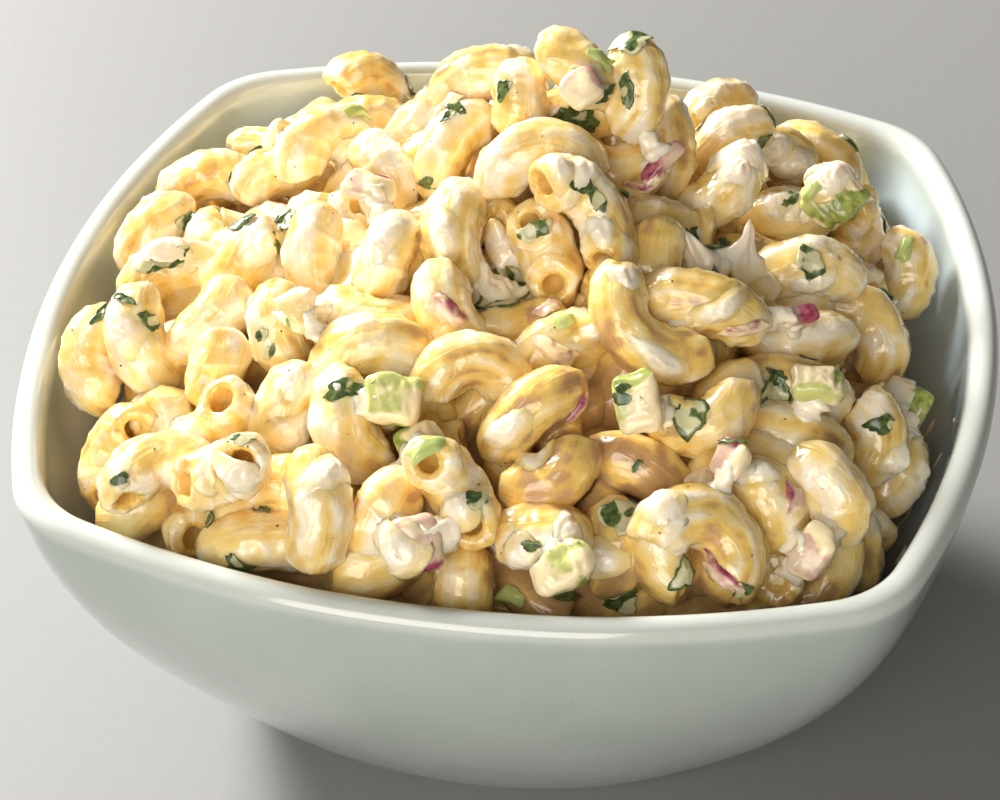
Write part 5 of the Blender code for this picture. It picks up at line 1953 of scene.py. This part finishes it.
@dataclass
class Slivers(Strewn):
    """Thin cuts of onion and celery, rounded, half sunk in the dressing."""

    rows: int = 16
    turns: int = 28
    squareness: float = 0.6
    edge_power: float = 0.45
    proud: float = 0.25
    sizes: tuple[float, float] = (3.5, 7.5)
    widths: tuple[float, float] = (2.0, 3.6)
    thick: float = 1.2
    shares: tuple[float, float] = (0.2, 0.6)
    chance: int = 16
    front: float = 0.0
    seed: int = 83
    waves: Waves = Waves(2.6, 84)

    def chance_row(self, draw: np.random.Generator) -> tuple:
        """Length, width, thickness, turn, share under dressing and kind of a chance sliver."""
        return (draw.uniform(*self.sizes), draw.uniform(*self.widths), self.thick, draw.uniform(0, 180),
                draw.uniform(*self.shares), draw.choice(["onion", "celery"]))

    def build(self) -> None:
        """One piece of each kind: the slivers that show and chance ones elsewhere."""
        draw = np.random.default_rng(self.seed)
        shown = [(*row[1:], row[0]) for row in SHOWN_SLIVERS]
        rise = np.linspace(0, math.pi, self.rows)[:, None]
        turn = ring(self.turns)
        reach = np.sin(rise) ** self.edge_power
        grids: dict[str, list[Array]] = {"onion": [], "celery": []}
        marks: dict[str, list[Array]] = {"onion": [], "celery": []}
        for place, (length, width, thick, way, veil, kind) in self.rows_for(shown, draw):
            outline, _ = lobed(turn, draw, (3, 0.12), (5, 0.07))
            across = oval(length / 2, width / 2, reach, outline, turn, self.squareness)
            stand = self.proud * thick + thick / 2 * np.cos(rise) ** 3 * np.ones(self.turns)
            points = self.perches.drape(place, way, across, stand)
            grids[kind].append(points)
            wave = self.waves.at(points)
            skin = smooth_step(-0.2, 0.5, squared(np.sin(turn), self.squareness) * reach + 0.25 * wave)
            marks[kind].append(np.stack([skin, np.clip(veil * (0.75 + 0.35 * wave), 0, 1)]))
        for kind, points in grids.items():
            mark = np.stack(marks[kind])
            finish = bpy.data.materials["red onion" if kind == "onion" else "celery"]
            shares = {"skin": mark[:, 0], "coat": mark[:, 1]}
            add_piece(f"{kind}_slivers", kind, np.stack(points), shares, finish)


@dataclass
class Dabs(Strewn):
    """Thick dressing left in dabs, or drawn out into peaks where the salad was stirred."""

    turns: int = 26
    rows: int = 14
    sizes: tuple[float, float] = (2.0, 5.0)
    widths: tuple[float, float] = (1.8, 3.6)
    heights: tuple[float, float] = (0.25, 0.6)
    chance: int = 36
    front: float = -80.0
    seed: int = 85
    peak_width: float = 0.52
    peak_power: float = 2.2
    spike_share: float = 0.75
    lean_power: float = 1.4
    rim_sink: float = 0.3
    draped: float = 0.6
    under: float = 1.5
    lumps: Waves = Waves(1.7, 86)
    lump_rise: float = 0.15

    def chance_row(self, draw: np.random.Generator) -> tuple:
        """Half widths, turn and height of a chance dab, which doesn't lean."""
        return (draw.uniform(*self.sizes), draw.uniform(*self.widths), draw.uniform(0, 180),
                draw.uniform(*self.heights), 0, 0)

    def build(self) -> None:
        """Domes whose height falls away as (1 - r squared) squared, or as exp(-(r / w) ** 2.2) for a peak."""
        draw = np.random.default_rng(self.seed)
        reach, top = capped(self.rows, 0.7, 0)
        turn = ring(self.turns)
        right, up, _ = self.perches.studio.axes()
        dome = (1 - reach ** 2) ** 2
        spike = self.spike_share * np.exp(-(reach / self.peak_width) ** self.peak_power) * (1 - reach ** 4)
        spike = spike + (1 - self.spike_share) * dome
        grids, coats = [], []
        for place, (long, wide, way, high, lean, lean_way) in self.rows_for(SHOWN_DABS, draw):
            outline, _ = lobed(turn, draw, (2, 0.14), (3, 0.1))
            across = oval(long, wide, reach, outline, turn)
            body = np.where(top, spike if lean else dome, 0) * np.ones(self.turns)
            stand = np.where(top, high * body - self.rim_sink * reach ** 4, -self.under)
            points = self.perches.drape(place, way, across, np.minimum(stand, self.draped))
            uneven = 0.4 + 0.6 * (high > 1) + (lean > 0)
            bumpy = self.lumps.at(points) * self.lump_rise * np.minimum(body * 3, 1) * uneven
            points = points + (np.maximum(stand - self.draped, 0) + bumpy)[..., None] * place[3:]
            sway = heading(lean_way, right, up)
            grids.append(points + (lean * body ** self.lean_power)[..., None] * sway)
            coat = self.perches.dressing.coat(points)
            # Dabs take the full coat; tall ones and peaks go beyond it to clotted white, for thick dressing
            # and partly as a painted highlight.
            coats.append(coat + (1 + 0.2 * (high > 1) - coat) * np.minimum(1.5 * body, 1))
        marks = {"coat": np.stack(coats)}
        add_piece("dressing_dabs", "salad", np.stack(grids), marks, bpy.data.materials[PASTA])


@dataclass
class Smears:
    """Thin smears of dressing on the bowl's inner wall, just above the heap."""

    perches: Perches
    turns: int = 30
    rows: int = 12
    thick: float = 0.25
    sunk: float = 0.35
    proud: float = 0.12
    coat: float = 0.75
    coat_share: float = 0.2
    nearest: float = 250.0
    farthest: float = 640.0
    stride: float = 0.4
    seed: int = 89
    edges: Waves = Waves(3.5, 90)

    def wall_spot(self, pixel: tuple[float, float]) -> tuple[float, float]:
        """Turn and height of the wall seen at a pixel: the first place below the rim with no room left."""
        studio = self.perches.studio
        bowl = self.perches.bowl
        way = studio.rays(np.array([pixel], dtype=float))[0]
        points = np.array(studio.eye) + np.arange(self.nearest, self.farthest, self.stride)[:, None] * way
        low = points[points[:, 2] < bowl.height - bowl.rim_zone]
        hit = low[bowl.wall_room(low) < 0][0]
        return math.atan2(hit[1], hit[0]), hit[2]

    def build(self) -> None:
        """Patches over turn and height by a waved circle, proud in the middle and sunk at the edge."""
        draw = np.random.default_rng(self.seed)
        bowl = self.perches.bowl
        reach, top = capped(self.rows, 0.6, 0)
        turn = ring(self.turns)
        grids, coats = [], []
        for x, y, long, wide, way in SHOWN_SMEARS:
            angle, height = self.wall_spot((x, y))
            outline, _ = lobed(turn, draw, (2, 0.22), (5, 0.15))
            flat = oval(long, wide, reach, outline, turn)
            along, over = flat[..., 0], flat[..., 1]
            cosine, sine = math.cos(math.radians(way)), math.sin(math.radians(way))
            angles = angle + (cosine * along - sine * over) / bowl.inner_radius(angle, height)
            heights = np.clip(height + sine * along + cosine * over, bowl.floor, bowl.height - bowl.rim_zone)
            stand = np.where(top, self.thick * (1 - reach ** 4) - self.sunk * reach ** 4, -self.sunk)
            radii = bowl.inner_radius(angles, heights) - stand - self.proud
            grids.append(polar(radii, angles, heights))
            coats.append(self.coat + self.coat_share * self.edges.at(grids[-1]))
        marks = {"coat": np.clip(np.stack(coats), 0, 1)}
        add_piece("wall_smears", "salad", np.stack(grids), marks, bpy.data.materials[PASTA])


@dataclass
class Holds:
    """Dressing that holds each cut to the elbows next to it."""

    perches: Perches
    cuts: Sequence[Cut]
    rows: int = 14
    turns: int = 18
    most: int = 3
    farthest: float = 5.5
    width: float = 0.37
    waist: float = 0.18
    sunk: float = 1.7
    lumps: Waves = Waves(2.3, 88)
    lump_share: float = 0.2

    def ways(self, middle: Array) -> Array:
        """Vectors from a cut's middle to the skins of the elbows next to it.

        Args:
            middle: the cut's middle.

        Returns:
            The vectors, the nearest elbow's first, each sunk a little into its elbow.
        """
        field, probe = self.perches.field, self.perches.probe
        gaps = field.elbow_gaps(middle[None], field.everything)[0]
        near = np.argsort(gaps)[:self.most]
        near = near[(gaps[near] < self.farthest) | (gaps[near] == gaps.min())]
        around = field.elbow_gaps(middle + probe * SIX_WAYS, near)
        slope = (around[3:] - around[:3]).T
        return slope / lengths(slope) * (gaps[near] + self.sunk)[:, None]

    def neck(self, middle: Array, way: Array, radius: float) -> Array:
        """A tube with round ends, uneven by the lumps.

        Args:
            middle: where it starts.
            way: the vector to its other end.
            radius: its radius r, which at a share t of the way is r (1 - waist sin(pi t)).

        Returns:
            The tube's points, by row and turn.
        """
        share = (1 - np.cos(np.linspace(0, math.pi, self.rows)))[:, None] / 2
        turn = ring(self.turns)
        forward = way / np.linalg.norm(way)
        side = np.cross(forward, np.eye(3)[np.argmin(np.abs(forward))])
        side /= np.linalg.norm(side)
        round_end = np.sqrt(np.maximum(1 - (2 * share - 1) ** 6, 0))
        wide = radius * (1 - self.waist * np.sin(math.pi * share)) * round_end * np.ones(self.turns)
        spin = np.cos(turn)[:, None] * side + np.sin(turn)[:, None] * np.cross(forward, side)
        core = middle + share[..., None] * way
        uneven = 1 + self.lump_share * self.lumps.at(core + wide[..., None] * spin)
        return core + (wide * uneven)[..., None] * spin

    def build(self) -> None:
        """Necks of dressing from each cut to the elbows that carry it."""
        grids = []
        for cut in self.cuts:
            radius = self.width * (cut.width + cut.height) / 2
            grids += [self.neck(cut.centre, way, radius) for way in self.ways(cut.centre)]
        points = np.stack(grids)
        marks = {"coat": np.ones(points.shape[:-1])}
        add_piece("dressing_holds", "salad", points, marks, bpy.data.materials[PASTA])


@dataclass
class Pepper:
    """Ground pepper: small lumps, uneven in size."""

    perches: Perches
    count: int = 62
    rows: int = 6
    turns: int = 7
    region: tuple[tuple[float, float], ...] = ((80, 920), (70, 590))
    sizes: tuple[float, float] = (0.08, 0.2)
    stretch: tuple[float, float] = (0.7, 1.3)
    dent: float = 0.18
    proud: float = 0.05
    seed: int = 87

    def build(self) -> None:
        """Balls with chance stretch and dents, half sunk in the skin."""
        draw = np.random.default_rng(self.seed)
        pixels = np.stack([draw.uniform(*limits, self.count) for limits in self.region], axis=1)
        seen = self.perches.seen(pixels)
        seen = seen[self.perches.held(seen)]
        places = np.concatenate([seen, self.perches.dropped(self.count, self.seed)])
        relief = self.perches.dressing.relief(places[:, :3], self.perches.dressing.coat(places[:, :3]))
        rise = np.linspace(0, math.pi, self.rows)[:, None]
        turn = ring(self.turns)
        ball = polar(np.sin(rise), turn, np.cos(rise) * np.ones(self.turns))
        size = draw.uniform(*self.sizes, (len(places), 1, 1, 1))
        size = size * draw.uniform(*self.stretch, (len(places), 1, 1, 3))
        dents = 1 + self.dent * draw.uniform(-1, 1, (len(places), self.rows, self.turns, 1))
        dents[:, [0, -1]] = 1
        middle = places[:, :3] + places[:, 3:] * (relief[:, None] + self.proud)
        grids = middle[:, None, None] + ball * size * dents
        add_piece("pepper", "salad", grids, {}, PepperFinish().make())


@dataclass
class Studio:
    """Floor, lights and the camera at the photograph's viewing angle."""

    eye: tuple[float, float, float] = (49.52, -316.12, 294.43)
    yaw: float = 0.1646
    rise: float = 0.6615
    roll: float = -0.0018
    lens: float = 87.15
    sensor: float = 36.0
    picture: tuple[float, float] = (1000.0, 800.0)
    clip_start: float = 0.01
    floor_half: float = 1.6
    floor_dark: Colour = (0.235, 0.232, 0.226)
    floor_light: Colour = (0.255, 0.252, 0.246)
    sky: Colour = (1.0, 0.96, 0.89)
    sky_strength: float = 0.09
    aim: tuple[float, float, float] = (0.0, 0.0, 0.07)

    def axes(self) -> Array:
        """Rows of unit vectors to the picture's right, to its top and back towards the eye."""
        right = np.array([math.cos(self.yaw), math.sin(self.yaw), 0.0])
        back = np.array([
            math.sin(self.yaw) * math.cos(self.rise),
            -math.cos(self.yaw) * math.cos(self.rise),
            math.sin(self.rise),
        ])
        up = np.cross(back, right)
        cosine, sine = math.cos(self.roll), math.sin(self.roll)
        return np.array([cosine * right + sine * up, cosine * up - sine * right, back])

    def rays(self, pixels: Array) -> Array:
        """Unit vectors from the eye through pixels of the picture."""
        wide, high = self.picture
        focal = self.lens / self.sensor * wide
        across, up = (pixels[:, 0] - wide / 2) / focal, (high / 2 - pixels[:, 1]) / focal
        ways = np.stack([across, up, -np.ones(len(pixels))], axis=1) @ self.axes()
        return ways / lengths(ways)

    def build_camera(self) -> None:
        """The camera, without shift or depth of field."""
        camera = add_object("camera", bpy.data.cameras.new("camera"))
        camera.data.lens = self.lens
        camera.data.sensor_width = self.sensor
        camera.data.clip_start = self.clip_start
        turned = Matrix(self.axes().T.tolist()).to_4x4()
        camera.matrix_world = Matrix.Translation(Vector(self.eye) * MM) @ turned
        bpy.context.scene.camera = camera

    def add_light(self, name: str, place: tuple[float, float, float], size: float, power: float,
                  colour: Colour) -> None:
        """A square soft light that faces the heap.

        Args:
            name: the light's name.
            place: where it hangs, in metres.
            size: width of the light.
            power: its power in watts.
            colour: its colour.
        """
        data = bpy.data.lights.new(name, "AREA")
        data.size = size
        data.energy = power
        data.color = colour
        lamp = add_object(name, data)
        way = Vector(self.aim) - Vector(place)
        lamp.matrix_world = Matrix.Translation(place) @ way.to_track_quat("-Z", "Y").to_matrix().to_4x4()

    def build(self) -> None:
        """The floor, the world's even light, two soft lights and the camera."""
        half = self.floor_half
        corners = [(-half, -half, 0), (half, -half, 0), (half, half, 0), (-half, half, 0)]
        mesh = bpy.data.meshes.new("floor")
        mesh.from_pydata(corners, [], [(0, 1, 2, 3)])
        bench = Bench("floor")
        colour = bench.blend(bench.noise(3.0, 4.0), self.floor_dark, self.floor_light)
        mesh.materials.append(bench.finish(base_color=colour, roughness=0.6))
        add_object("floor", mesh)
        world = bpy.data.worlds.new("studio")
        world.use_nodes = True
        background = world.node_tree.nodes["Background"].inputs
        background["Color"].default_value = (*self.sky, 1)
        background["Strength"].default_value = self.sky_strength
        bpy.context.scene.world = world
        self.add_light("window", (-1.02, 0.82, 0.80), 0.5, 66.0, (1.0, 0.985, 0.955))
        self.add_light("fill", (-0.10, -0.80, 0.42), 0.6, 6.7, (1.0, 0.955, 0.885))
        self.build_camera()
        bpy.context.scene.view_settings.view_transform = "Standard"


def main() -> None:
    """Lay the heap, then build the bowl, the salad, its vegetables and the studio."""
    logging.basicConfig(level=logging.INFO, format="%(name)s: %(message)s")
    bowl_form = BowlForm()
    heap = HeapForm(bowl_form)
    laid = Layout(heap).lay()
    LOG.info("laid %d shown, %d more, %d under and %d deep elbows", len(laid.shown), len(laid.surface),
             len(laid.under), len(laid.deep))
    dressing = Dressing()
    bed = Bed(heap)
    elbows = laid.shown + laid.surface + laid.under + laid.deep
    field = HeapField(elbows, laid.cuts, bed, dressing)
    Bowl(bowl_form).build()
    Salad(laid, field, dressing, bed).build()
    CutVegetables(laid).build()
    studio = Studio()
    perches = Perches(field, dressing, studio)
    for topping in (Leaves(perches), Slivers(perches), Dabs(perches), Holds(perches, laid.cuts),
                    Smears(perches), Pepper(perches)):
        topping.build()
    studio.build()


if __name__ == "__main__":
    main()
